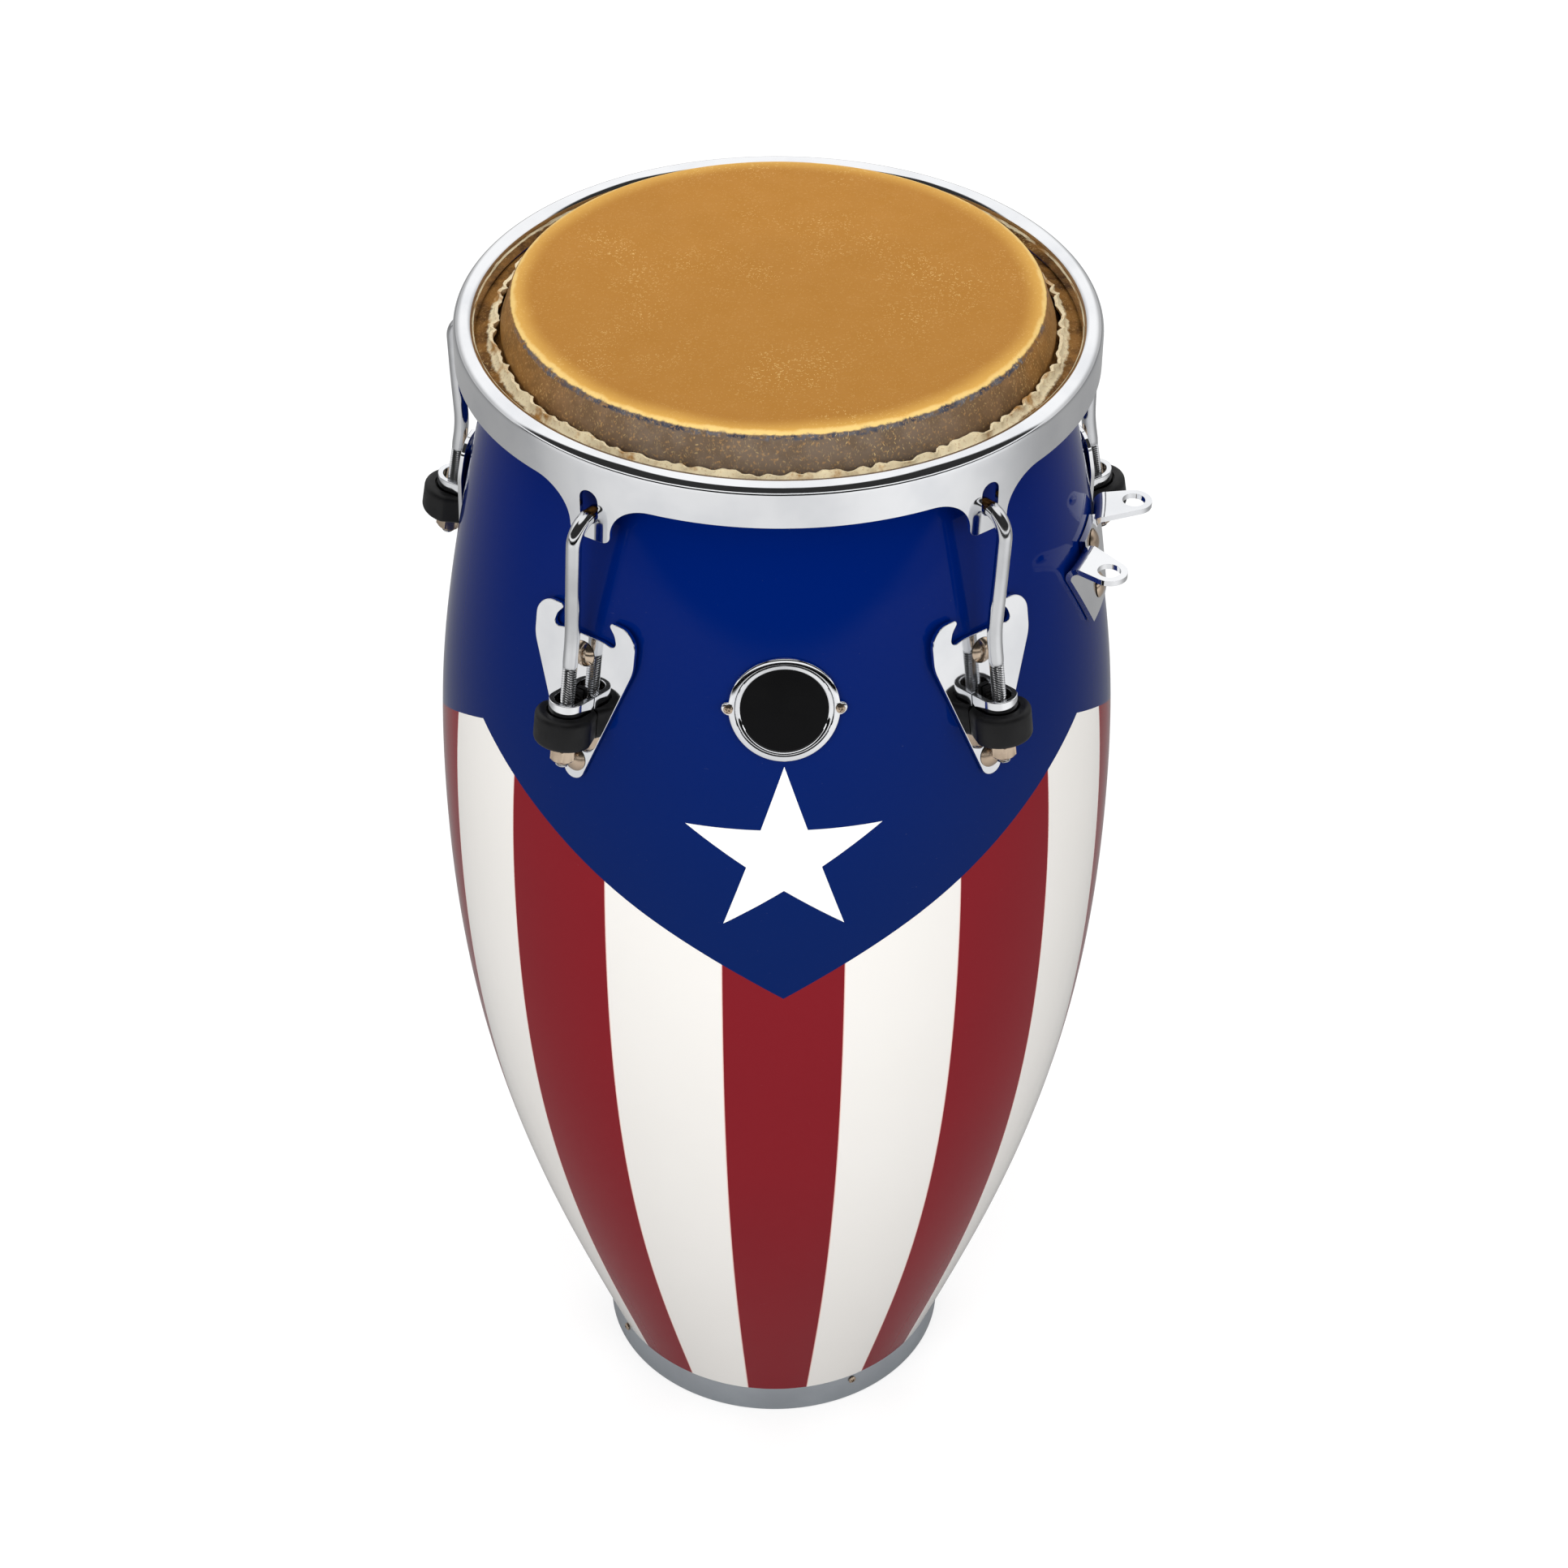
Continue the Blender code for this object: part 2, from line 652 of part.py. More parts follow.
def side_plate_outline():
    """Shield with two horns, symmetric about the lug's middle."""
    right = [
        (PLATE_HALF_WIDTH, PLATE_SHOULDER_UP, PLATE_SHOULDER_ROUND, 3),
        (PLATE_HALF_WIDTH, PLATE_TOP_UP, PLATE_HORN_ROUND, 5),
        (HORN_GAP_HALF_WIDTH, PLATE_TOP_UP, HORN_TIP_ROUND, 2),
        (NOTCH_HALF_WIDTH, NOTCH_UP, NOTCH_ROUND, 2),
    ]
    left = [(-x, up, radius, steps) for x, up, radius, steps in right[::-1]]
    return rounded_outline([(0, -PLATE_POINT_DOWN, PLATE_POINT_ROUND, 6)] + right + left)


def side_plate_mesh():
    """Flat plate of a lug with its two bolt holes."""
    plate = outwards(prism(side_plate_outline(), 0, PLATE))
    holes = []
    for up in BOLT_UPS:
        cutter = hole(BOLT_SHANK_RADIUS + BORE_GAP, -PLATE, 2 * PLATE)
        holes.append(moved(cutter, Matrix.Translation((0, 0, up))))
    return combined(plate, together(holes), "DIFFERENCE")


def receiver_mesh():
    """Strap bent round the rod, its two ends on the side plate."""
    middle = ROD_RADIUS + STRAP_CLEARANCE + STRAP_SHEET / 2
    root = ROD_STAND - GAP
    line = [(middle, root)] + arc((0, 0), middle, 0, -180, 9) + [(-middle, root)]
    return prism(strip_outline(line, STRAP_SHEET), STRAP_FOOT_UP, STRAP_TOP_UP)


def bumper_mesh():
    """Rubber block round the nut, with chamfered edges and a flat back on the side plate."""
    back = ROD_STAND - GAP
    bore = COLLAR_RADIUS + BUMPER_CLEARANCE
    cheek = (BUMPER_RADIUS + BUMPER_ROOT_HALF_WIDTH) / 2
    outline = arc((0, 0), BUMPER_RADIUS, 0, -180, 9) + [(-cheek, back / 2)]
    outline += [(x * BUMPER_ROOT_HALF_WIDTH, back) for x in (-1, -0.5, 0, 0.5, 1)]
    outline += [(cheek, back / 2)]
    narrow = 1 - BUMPER_CHAMFER / BUMPER_RADIUS
    inset = [(x * narrow, y if y > 0 else y * narrow) for x, y in outline]
    angles = [math.atan2(y, x) for x, y in outline]
    inside = [(bore * math.cos(angle), bore * math.sin(angle)) for angle in angles]
    low = NUT_TOP_UP - BUMPER_HEIGHT
    levels = [(inside, low), (inset, low), (outline, low + BUMPER_CHAMFER)]
    levels += [(outline, NUT_TOP_UP - BUMPER_CHAMFER), (inset, NUT_TOP_UP), (inside, NUT_TOP_UP)]
    return ring_body([[(x, y, up) for x, y in points] for points, up in levels])


def nut_mesh():
    """Long hexagonal nut with a round collar at its top; a flat faces out of the drum."""
    low = NUT_TOP_UP - NUT_LENGTH
    step = NUT_TOP_UP - COLLAR_HEIGHT
    bore = circle((THREAD_RADIUS + GAP) / math.cos(math.pi / 12), 12)
    collar = circle(COLLAR_RADIUS, 12)
    corners = circle(NUT_FLATS / math.sqrt(3), 6)
    hexagon = []
    for corner, following in zip(corners, corners[1:] + corners[:1]):
        hexagon += [corner, ((corner[0] + following[0]) / 2, (corner[1] + following[1]) / 2)]
    levels = [(bore, low), (hexagon, low), (hexagon, step)]
    levels += [(collar, step), (collar, NUT_TOP_UP), (bore, NUT_TOP_UP)]
    return ring_body([[(x, y, up) for x, y in points] for points, up in levels])


def hook_mesh():
    """Rod: thread, knee, upright run that leans to the slot, and an end that turns down in it."""
    knee = LUG_HEIGHT + ROD_OUT * math.sin(LUG_PLANE.tilt) + KNEE_UP * math.cos(LUG_PLANE.tilt)

    def at_rim(radius, height, turn):
        out, up = LUG_PLANE.local(radius * math.cos(math.radians(turn)), height)
        return Vector((radius * math.sin(math.radians(turn)), ROD_OUT - out, up))

    corners = [Vector((0, 0, THREAD_TOP_UP + ROD_CHAMFER)), Vector((0, 0, KNEE_UP))]
    corners.append(at_rim(HOOK_RADIUS, (knee + HOOK_HEIGHT) / 2, RIM_TURN / 2))
    corners.append(at_rim(HOOK_RADIUS, HOOK_HEIGHT, RIM_TURN))
    corners.append(at_rim(TIP_RADIUS, HOOK_HEIGHT, RIM_TURN))
    corners.append(at_rim(TIP_RADIUS, HOOK_HEIGHT - TIP_LENGTH, RIM_TURN))
    path = [corners[0]]
    rounds = [(KNEE_ROUND, 1), (KNEE_ROUND, 1), (HOOK_ROUND, 4), (TIP_ROUND, 3)]
    for i, (radius, steps) in enumerate(rounds, start=1):
        path += corner_arc(corners[i - 1], corners[i], corners[i + 1], radius, steps)
    ending = (corners[-1] - corners[-2]).normalized() * ROD_CHAMFER
    path += [corners[-1] - ending, corners[-1]]
    thread = [-ROD_FOOT_DOWN, ROD_CHAMFER - ROD_FOOT_DOWN, THREAD_TOP_UP]
    radii = [THREAD_RADIUS - ROD_CHAMFER, THREAD_RADIUS, THREAD_RADIUS]
    radii += [ROD_RADIUS] * (len(path) - 1) + [ROD_RADIUS - ROD_CHAMFER]
    return sweep([Vector((0, 0, up)) for up in thread] + path, radii, 8)


def bolt_mesh(seat, length):
    """Round-headed bolt that points out of the drum, with its head on a sheet at the seat."""
    foot = seat + GAP
    top = foot + BOLT_HEAD_HEIGHT
    profile = [(0, -length), (BOLT_SHANK_RADIUS, -length), (BOLT_SHANK_RADIUS, foot)]
    profile += [(BOLT_HEAD_RADIUS, foot), (BOLT_HEAD_RADIUS * 0.7, top - BOLT_HEAD_HEIGHT / 4)]
    return outwards(revolve(profile + [(0, top)], BOLT_SIDES))


def bar_mesh(depth, low_up, high_up, bolt_ups):
    """Flat bar inside the shell, with a welded nut behind each bolt."""
    outline = [(-BAR_HALF_WIDTH, low_up), (BAR_HALF_WIDTH, low_up)]
    outline += [(BAR_HALF_WIDTH, high_up), (-BAR_HALF_WIDTH, high_up)]
    body = outwards(prism(outline, -depth - BAR_SHEET, -depth))
    back = -depth - BAR_SHEET - WELD_NUT_HEIGHT
    corners = circle(WELD_NUT_FLATS / math.sqrt(3), 6)
    nuts = []
    holes = []
    for up in bolt_ups:
        place = Matrix.Translation((0, 0, up))
        nuts.append(moved(outwards(prism(corners, back, -depth - BAR_SHEET / 2)), place))
        holes.append(moved(hole(BOLT_SHANK_RADIUS + BORE_GAP, back - GAP, GAP - depth), place))
    body = combined(body, together(nuts), "UNION")
    return combined(body, together(holes), "DIFFERENCE")


def wall_holes(frame, depth, bolt_ups):
    """Cutters through the shell wall for the bolts of a group."""
    cutters = []
    for up in bolt_ups:
        cutter = hole(BOLT_SHANK_RADIUS + BORE_GAP, -depth - WALL, WALL)
        cutters.append(moved(cutter, frame @ Matrix.Translation((0, 0, up))))
    return cutters


def build_lugs():
    """Add every lug and return the holes they need in the shell."""
    depth = LUG_PLANE.depth_inside(BAR_FOOT_UP, BAR_TOP_UP, BAR_HALF_WIDTH)
    length = depth + BAR_SHEET + WELD_NUT_HEIGHT + BOLT_END
    bolt = mesh_data("lug_bolt", bolt_mesh(PLATE, length))
    bar = mesh_data("lug_bar", bar_mesh(depth, BAR_FOOT_UP, BAR_TOP_UP, BOLT_UPS))
    pieces = [
        ("side_plate", mesh_data("side_plate", side_plate_mesh()), "chrome", 0, 0),
        ("receiver", mesh_data("receiver", receiver_mesh()), "chrome", ROD_OUT, 0),
        ("bumper", mesh_data("bumper", bumper_mesh()), "rubber", ROD_OUT, 0),
        ("lug_nut", mesh_data("lug_nut", nut_mesh()), "nickel", ROD_OUT, 0),
        ("hook", mesh_data("hook", hook_mesh()), "chrome", ROD_OUT, 0),
        ("plate_bolt_upper", bolt, "nickel", 0, UPPER_BOLT_UP),
        ("plate_bolt_lower", bolt, "nickel", 0, -LOWER_BOLT_DOWN),
        ("backing_plate", bar, "steel", 0, 0),
    ]
    cutters = []
    for number, azimuth in enumerate(LUG_AZIMUTHS, start=1):
        place = LUG_PLANE.frame(azimuth)
        frame = add_frame(f"lug_frame_{number}", place)
        for name, data, finish, out, up in pieces:
            add(f"{name}_{number}", data, finish, frame, Matrix.Translation((0, -out, up)))
        cutters += wall_holes(place, depth, BOLT_UPS)
    return cutters


# Stand bracket, built at the badge side and then turned to its place.

def add_strip(mesh, row, following):
    """Join two rows of corners with a strip of faces."""
    for i in range(len(row) - 1):
        mesh.faces.new((row[i], row[i + 1], following[i + 1], following[i]))


def tab_axes(side):
    """Directions out of and along the wall at the middle of a tab's root."""
    outward = around(1, side * math.degrees(TAB_SPREAD / BRACKET_PLANE.radius), 0)
    return outward, Vector((-outward.y, outward.x, 0))


def tab_middle(side):
    """Place of a tab's hole, about which its round end stands."""
    outward, across = tab_axes(side)
    middle = outward * (BRACKET_PLANE.radius + TAB_REACH) + across * side * TAB_SPLAY
    return middle + Vector((0, 0, TAB_TOP))


def add_tab(mesh, roots, side):
    """Bend the sheet outwards from its root corners into a flat tab with a round end."""
    tilt = BRACKET_PLANE.tilt
    bend = TAB_BEND + BRACKET_SHEET
    outward, _ = tab_axes(side)
    previous = roots
    for turn in spaced(-tilt, math.pi / 2, 5)[1:]:
        shift = outward * bend * (math.cos(tilt) - math.cos(turn))
        shift += Vector((0, 0, bend * (math.sin(turn) + math.sin(tilt))))
        row = [mesh.verts.new(root.co + shift) for root in roots]
        add_strip(mesh, previous, row)
        previous = row
    middle = tab_middle(side)
    along = middle - (previous[0].co + previous[-1].co) / 2
    along = Vector((along.x, along.y, 0)).normalized()
    aside = Vector((-along.y, along.x, 0))
    shares = (-1, -1 / 3, 1 / 3, 1)
    row = [mesh.verts.new(middle + aside * TAB_END_RADIUS * share) for share in shares]
    add_strip(mesh, previous, row)
    end = []
    for x, y in arc((0, 0), TAB_END_RADIUS, 0, 180, 9)[1:-1]:
        end.append(mesh.verts.new(middle + aside * x + along * y))
    mesh.faces.new(row + end)


def bracket_mesh(bolt_ups):
    """Curved plate, narrower at its foot, with its two tabs, two bolt holes and two tab holes."""
    tilt = BRACKET_PLANE.tilt
    start = TAB_TOP - (TAB_BEND + BRACKET_SHEET) * (1 + math.sin(tilt))
    tab = [TAB_SPREAD + share * TAB_HALF_WIDTH for share in (-1, -1 / 3, 1 / 3, 1)]
    columns = [-x for x in reversed(tab)] + [-tab[0] / 2, 0.0, tab[0] / 2] + tab
    mesh = bmesh.new()

    def wall_row(places, height):
        radius = BRACKET_PLANE.radius - (height - BRACKET_PLANE.middle) * math.tan(tilt)
        azimuths = [math.degrees(x / radius) for x in places]
        return [mesh.verts.new(around(radius + GAP, azimuth, height)) for azimuth in azimuths]

    rows = []
    for share in spaced(0, 1, 4):
        half = BRACKET_FOOT_HALF_WIDTH + share * (tab[-1] - BRACKET_FOOT_HALF_WIDTH)
        height = BRACKET_FOOT + share * (start - BRACKET_FOOT)
        rows.append(wall_row([x * half / tab[-1] for x in columns], height))
    for row, following in zip(rows, rows[1:]):
        add_strip(mesh, row, following)
    add_strip(mesh, rows[-1][3:8], wall_row(columns[3:8], BRACKET_TOP))
    add_tab(mesh, rows[-1][:4], -1)
    add_tab(mesh, rows[-1][-4:], 1)
    mesh.normal_update()
    bmesh.ops.solidify(mesh, geom=mesh.faces[:], thickness=-BRACKET_SHEET)
    cutters = []
    for side in (-1, 1):
        cutter = prism(circle(TAB_HOLE_RADIUS, 12), -2 * BRACKET_SHEET, BRACKET_SHEET)
        cutters.append(moved(cutter, Matrix.Translation(tab_middle(side))))
    frame = BRACKET_PLANE.frame(0)
    for up in bolt_ups:
        cutter = hole(BOLT_SHANK_RADIUS + BORE_GAP, -BRACKET_SHEET, 3 * BRACKET_SHEET)
        cutters.append(moved(cutter, frame @ Matrix.Translation((0, 0, up))))
    body = combined(closed(mesh), together(cutters), "DIFFERENCE")
    return moved(body, frame.inverted())


def build_bracket():
    """Add the bracket with its bolts and bar; return the holes they need in the shell."""
    ups = [BRACKET_PLANE.up_at(BRACKET_TOP - drop) for drop in (BRACKET_UPPER_BOLT, BRACKET_LOWER_BOLT)]
    low_up = ups[1] - BAR_MARGIN
    high_up = ups[0] + BAR_MARGIN
    depth = BRACKET_PLANE.depth_inside(low_up, high_up, BAR_HALF_WIDTH)
    length = depth + BAR_SHEET + WELD_NUT_HEIGHT + BOLT_END
    place = BRACKET_PLANE.frame(BRACKET_AZIMUTH)
    frame = add_frame("bracket_frame", place)
    add("stand_bracket", mesh_data("stand_bracket", bracket_mesh(ups)), "chrome", frame)
    bar = mesh_data("bracket_bar", bar_mesh(depth, low_up, high_up, ups))
    add("bracket_backing_plate", bar, "steel", frame)
    bolt = mesh_data("bracket_bolt", bolt_mesh(GAP + BRACKET_SHEET, length))
    for name, up in zip(("upper", "lower"), ups):
        add(f"bracket_bolt_{name}", bolt, "nickel", frame, Matrix.Translation((0, 0, up)))
    return wall_holes(place, depth, ups)


# Foot and badge.

def screw_mesh():
    """Pan-head screw that points out of the drum; its head stands on the frame's origin."""
    profile = [(0, -SCREW_LENGTH), (SCREW_SHANK_RADIUS, SCREW_SHANK_RADIUS - SCREW_LENGTH)]
    profile += [(SCREW_SHANK_RADIUS, 0), (SCREW_HEAD_RADIUS, 0)]
    profile += [(SCREW_HEAD_RADIUS, SCREW_HEAD_HEIGHT / 2)]
    profile += [(SCREW_HEAD_RADIUS * 0.7, SCREW_HEAD_HEIGHT), (0, SCREW_HEAD_HEIGHT)]
    return outwards(revolve(profile, 8))


def screw_hole(frame):
    """Cutter for a screw's hole."""
    end = -SCREW_LENGTH - GAP
    return moved(hole(SCREW_SHANK_RADIUS + BORE_GAP, end, SCREW_HEAD_HEIGHT, 8), frame)


def band_mesh(cutters):
    """Flat band round the shell's end."""
    top = BAND_LIFT + BAND_HEIGHT
    inner = BAND_OUTER - BAND_SHEET
    profile = [(inner, BAND_LIFT), (BAND_OUTER, BAND_LIFT), (BAND_OUTER, top), (inner, top)]
    return combined(revolve(profile), together(cutters), "DIFFERENCE")


def foot_ring_mesh():
    """Rubber ring under the shell's end."""
    inner = SEAT_RADIUS - WALL
    profile = [(inner, 0), (SEAT_RADIUS - FOOT_CHAMFER, 0), (SEAT_RADIUS, FOOT_CHAMFER)]
    return revolve(profile + [(SEAT_RADIUS, FOOT_HEIGHT), (inner, FOOT_HEIGHT)])


def build_foot():
    """Add the foot ring, the band and its screws; return the screw holes for the shell."""
    add("foot_ring", mesh_data("foot_ring", foot_ring_mesh()), "rubber")
    screw = mesh_data("band_screw", screw_mesh())
    frames = []
    for number in range(BAND_SCREWS):
        azimuth = BAND_SCREW_AZIMUTH + 360 * number / BAND_SCREWS
        frames.append(leaning_frame(azimuth, BAND_OUTER + GAP, BAND_LIFT + BAND_SCREW_RISE, 0))
        add(f"band_screw_{number + 1}", screw, "nickel", None, frames[-1])
    band = band_mesh([screw_hole(frame) for frame in frames])
    add("base_band", mesh_data("base_band", band), "band")
    return [screw_hole(frame) for frame in frames]


def badge_reach(angle):
    """Distance from the badge's centre to its edge, which takes in a round ear at each side."""
    across = abs(BADGE_RADIUS * math.sin(angle))
    if across >= BADGE_EAR_RADIUS:
        return BADGE_RADIUS
    along = abs(BADGE_RADIUS * math.cos(angle))
    return max(BADGE_RADIUS, along + math.sqrt(BADGE_EAR_RADIUS ** 2 - across ** 2))


def badge_mesh(cutters):
    """Bent disc: back against the shell, flat field, raised border and screw ears."""
    ear = math.degrees(math.asin(BADGE_EAR_RADIUS / BADGE_RADIUS))
    half = spaced(-ear, ear, 7) + spaced(ear, 180 - ear, 12)[1:-1]
    angles = [math.radians(angle) for angle in half + [angle + 180 for angle in half]]
    raised = BADGE_SHEET + BADGE_BORDER
    shape = [(0, 0, 0), (0, 1 / 2, 0), (0, 1, 0), (0, 1, BADGE_SHEET)]
    shape += [(-BADGE_BORDER, 1, raised), (BADGE_BORDER, 0, raised), (0, 0, BADGE_SHEET)]
    rings = []
    for i, (shift, share, stand) in enumerate(shape):
        ring = []
        for angle in angles:
            reach = share * badge_reach(angle) + shift
            if i > 4:
                reach = BADGE_FIELD_RADIUS + shift
            ring.append((reach * math.cos(angle), reach * math.sin(angle), stand))
        rings.append(ring)
    rings[0] = rings[0][:1]
    rings.append([(0, 0, BADGE_SHEET)])
    bent = []
    for ring in rings:
        row = []
        for x, rise, stand in ring:
            height = BADGE_HEIGHT + rise
            radius = shell_radius(height) + BADGE_CLEARANCE + stand
            row.append((x, -math.sqrt(radius ** 2 - x ** 2), height))
        bent.append(row)
    return combined(ring_body(bent), together(cutters), "DIFFERENCE")


def build_badge():
    """Add the badge and its screws; return the screw holes for the shell."""
    step = BADGE_RADIUS / 4
    tilt = math.atan2(shell_radius(BADGE_HEIGHT - step) - shell_radius(BADGE_HEIGHT + step), 2 * step)
    surface = shell_radius(BADGE_HEIGHT) + BADGE_CLEARANCE + BADGE_SHEET + BADGE_BORDER
    azimuth = math.degrees(math.asin(BADGE_RADIUS / surface))
    screw = mesh_data("badge_screw", screw_mesh())
    frames = []
    for name, side in (("left", -1), ("right", 1)):
        frames.append(leaning_frame(side * azimuth, surface + GAP, BADGE_HEIGHT, tilt))
        add(f"badge_screw_{name}", screw, "nickel", None, frames[-1])
    badge = badge_mesh([screw_hole(frame) for frame in frames])
    add("badge", mesh_data("badge", badge), "chrome")
    return [screw_hole(frame) for frame in frames]


def main():
    """Build the drum."""
    for item in list(bpy.data.objects):
        bpy.data.objects.remove(item)
    cutters = build_lugs() + build_bracket() + build_foot() + build_badge()
    add("shell", mesh_data("shell", shell_mesh(cutters)), "lacquer")
    turned = Matrix.Rotation(math.radians(RIM_TURN), 4, "Z")
    add("head_skin", mesh_data("head_skin", head_skin_mesh()), "hide", None, turned)
    add("hide_tuck", mesh_data("hide_tuck", hide_tuck_mesh()), "hide", None, turned)
    add("flesh_hoop", mesh_data("flesh_hoop", flesh_hoop_mesh()), "steel", None, turned)
    add("rim", mesh_data("rim", rim_mesh()), "chrome", None, turned)


main()
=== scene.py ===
# %% [markdown]
# # A quinto conga, dressed for a studio picture
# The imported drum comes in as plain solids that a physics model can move. This lesson gives each one the
# surface of the real thing: lacquer, rawhide, chrome, nickel and rubber.
# Everything is in metres. The drum stands on z = 0 and its badge faces -Y. An azimuth goes round the
# drum from the badge side, in degrees, and is positive towards +X.

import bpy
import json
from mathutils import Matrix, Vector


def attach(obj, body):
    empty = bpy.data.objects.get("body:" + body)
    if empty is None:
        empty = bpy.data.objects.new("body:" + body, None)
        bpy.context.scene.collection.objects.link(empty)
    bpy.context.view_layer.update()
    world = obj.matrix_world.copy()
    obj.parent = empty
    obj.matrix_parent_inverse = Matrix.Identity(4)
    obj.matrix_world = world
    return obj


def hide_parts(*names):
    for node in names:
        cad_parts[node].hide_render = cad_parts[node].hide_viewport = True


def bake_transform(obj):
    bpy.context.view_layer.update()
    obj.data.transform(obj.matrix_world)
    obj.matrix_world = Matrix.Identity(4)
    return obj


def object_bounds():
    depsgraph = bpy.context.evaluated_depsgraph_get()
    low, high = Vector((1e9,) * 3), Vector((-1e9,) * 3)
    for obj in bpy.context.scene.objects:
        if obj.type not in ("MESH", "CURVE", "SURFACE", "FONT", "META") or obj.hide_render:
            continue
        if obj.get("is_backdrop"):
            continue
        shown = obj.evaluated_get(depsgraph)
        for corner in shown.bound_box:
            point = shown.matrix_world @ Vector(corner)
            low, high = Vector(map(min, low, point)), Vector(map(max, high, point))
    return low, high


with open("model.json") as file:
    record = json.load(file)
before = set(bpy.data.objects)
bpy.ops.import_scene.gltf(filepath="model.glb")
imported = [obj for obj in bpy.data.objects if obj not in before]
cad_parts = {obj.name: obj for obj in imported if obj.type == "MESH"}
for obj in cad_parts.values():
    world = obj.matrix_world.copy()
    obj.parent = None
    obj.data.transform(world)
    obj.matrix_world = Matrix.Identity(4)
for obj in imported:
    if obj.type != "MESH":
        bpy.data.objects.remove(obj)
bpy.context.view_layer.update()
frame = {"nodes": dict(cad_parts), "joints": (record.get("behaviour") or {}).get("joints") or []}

# %% Libraries
import json
import math
import random

import bmesh
import bpy
import numpy as np
from mathutils import Matrix, Vector

# %% [markdown]
# ## The drum's main sizes
# The fine surfaces have to lie on the same lines as the plain solids, so the driving sizes are the same
# ones. A size that belongs to one piece only is given in the cell that makes the piece.

# %% Sizes that several pieces share
HEAD_HEIGHT = 0.762
NECK_RADIUS = 0.1460
NECK_HEIGHT = HEAD_HEIGHT - 0.0240
BELLY_HEIGHT = 0.448
BELLY_RADIUS = 0.1934
FOOT_RADIUS = 0.1079
WALL = 0.0125
HIDE = 0.0018
GAP = 0.0003
BAND_TOP = 0.0212
BAND_OUTER = FOOT_RADIUS - 0.0006
BAND_SHEET = 0.0020
SEAT_RADIUS = BAND_OUTER - BAND_SHEET - GAP
FOOT_HEIGHT = 0.0062
HOOP_RADIUS = 0.1594
HOOP_HEIGHT = HEAD_HEIGHT - 0.0314
RIM_RADIUS = 0.17329
RIM_SHEET = 0.0025
RIM_TOP = HEAD_HEIGHT - 0.0124
LUGS = 5

# %% [markdown]
# ## Points and outlines
# Most pieces here are made as rings of points that are joined into faces. A few small functions give the
# points: evenly spaced numbers, a point at an azimuth, an arc, and a corner that is rounded off.

# %% Point helpers
def spaced(first, last, count):
    """Evenly spaced numbers from first to last."""
    return [float(value) for value in np.linspace(first, last, count)]


def around(radius, azimuth, height):
    """Point at a radius and a height, at an azimuth in degrees."""
    angle = math.radians(azimuth)
    return Vector((radius * math.sin(angle), -radius * math.cos(angle), height))


def arc(centre, radius, start, end, count):
    """Points on an arc, between two angles in degrees."""
    angles = spaced(math.radians(start), math.radians(end), count)
    return [(centre[0] + radius * math.cos(a), centre[1] + radius * math.sin(a)) for a in angles]


def corner_arc(before, corner, after, radius, steps):
    """Round a corner between two points; the radius is limited by the shorter side."""
    corner = Vector(corner)
    back = Vector(before) - corner
    ahead = Vector(after) - corner
    half = back.angle(ahead) / 2
    radius = min(radius, 0.6 * min(back.length, ahead.length) * math.tan(half))
    back.normalize()
    ahead.normalize()
    centre = corner + (back + ahead).normalized() * radius / math.sin(half)
    first = corner + back * radius / math.tan(half) - centre
    last = corner + ahead * radius / math.tan(half) - centre
    sweep = math.pi - 2 * half
    points = []
    for share in spaced(0, 1, steps + 1):
        turned = first * math.sin((1 - share) * sweep) + last * math.sin(share * sweep)
        points.append(centre + turned / math.sin(sweep))
    return points


def rounded_outline(corners):
    """Closed outline from (x, y, corner radius, steps) corners."""
    outline = []
    for i, (x, y, radius, steps) in enumerate(corners):
        before = corners[i - 1][:2]
        after = corners[(i + 1) % len(corners)][:2]
        outline += [tuple(point) for point in corner_arc(before, (x, y), after, radius, steps)]
    return outline


def offset_line(points, distance):
    """Shift an open line of (x, y) points to its right, with mitred corners."""
    shifted = []
    for i, point in enumerate(points):
        normals = []
        for a, b in ((i - 1, i), (i, i + 1)):
            if a >= 0 and b < len(points):
                along = (Vector(points[b]) - Vector(points[a])).normalized()
                normals.append(Vector((along.y, -along.x)))
        middle = sum(normals, Vector((0, 0))).normalized()
        shifted.append(tuple(Vector(point) + middle * distance / middle.dot(normals[0])))
    return shifted


# %% [markdown]
# ## From rings to a mesh
# A turned piece could be a Screw modifier on a profile, but with bmesh the same few lines also make rods,
# nuts and rings whose edge waves. Folds sharper than 35 degrees stay crisp and the rest is shaded smooth.

# %% Mesh helpers
def to_data(name, mesh):
    """Store a bmesh as mesh data, shaded smooth between its folds."""
    data = bpy.data.meshes.new(name)
    mesh.to_mesh(data)
    mesh.free()
    data.shade_smooth()
    data.set_sharp_from_angle(angle=math.radians(35))
    return data


def ring_mesh(rings, closed=True):
    """Mesh whose rings each join the next; closed joins the last to the first, else the ends are capped."""
    mesh = bmesh.new()
    rows = [[mesh.verts.new(point) for point in ring] for ring in rings]
    pairs = list(zip(rows, rows[1:]))
    if closed:
        pairs.append((rows[-1], rows[0]))
    else:
        mesh.faces.new(rows[0])
        mesh.faces.new(rows[-1])
    for row, following in pairs:
        for i, corner in enumerate(row):
            j = (i + 1) % len(row)
            mesh.faces.new((corner, row[j], following[j], following[i]))
    bmesh.ops.recalc_face_normals(mesh, faces=mesh.faces)
    return mesh


def revolve(profile, segments, closed=True):
    """Turn an outline of (radius, height) points about Z."""
    azimuths = [360 * i / segments for i in range(segments)]
    return ring_mesh([[around(radius, azimuth, height) for azimuth in azimuths]
                      for radius, height in profile], closed)


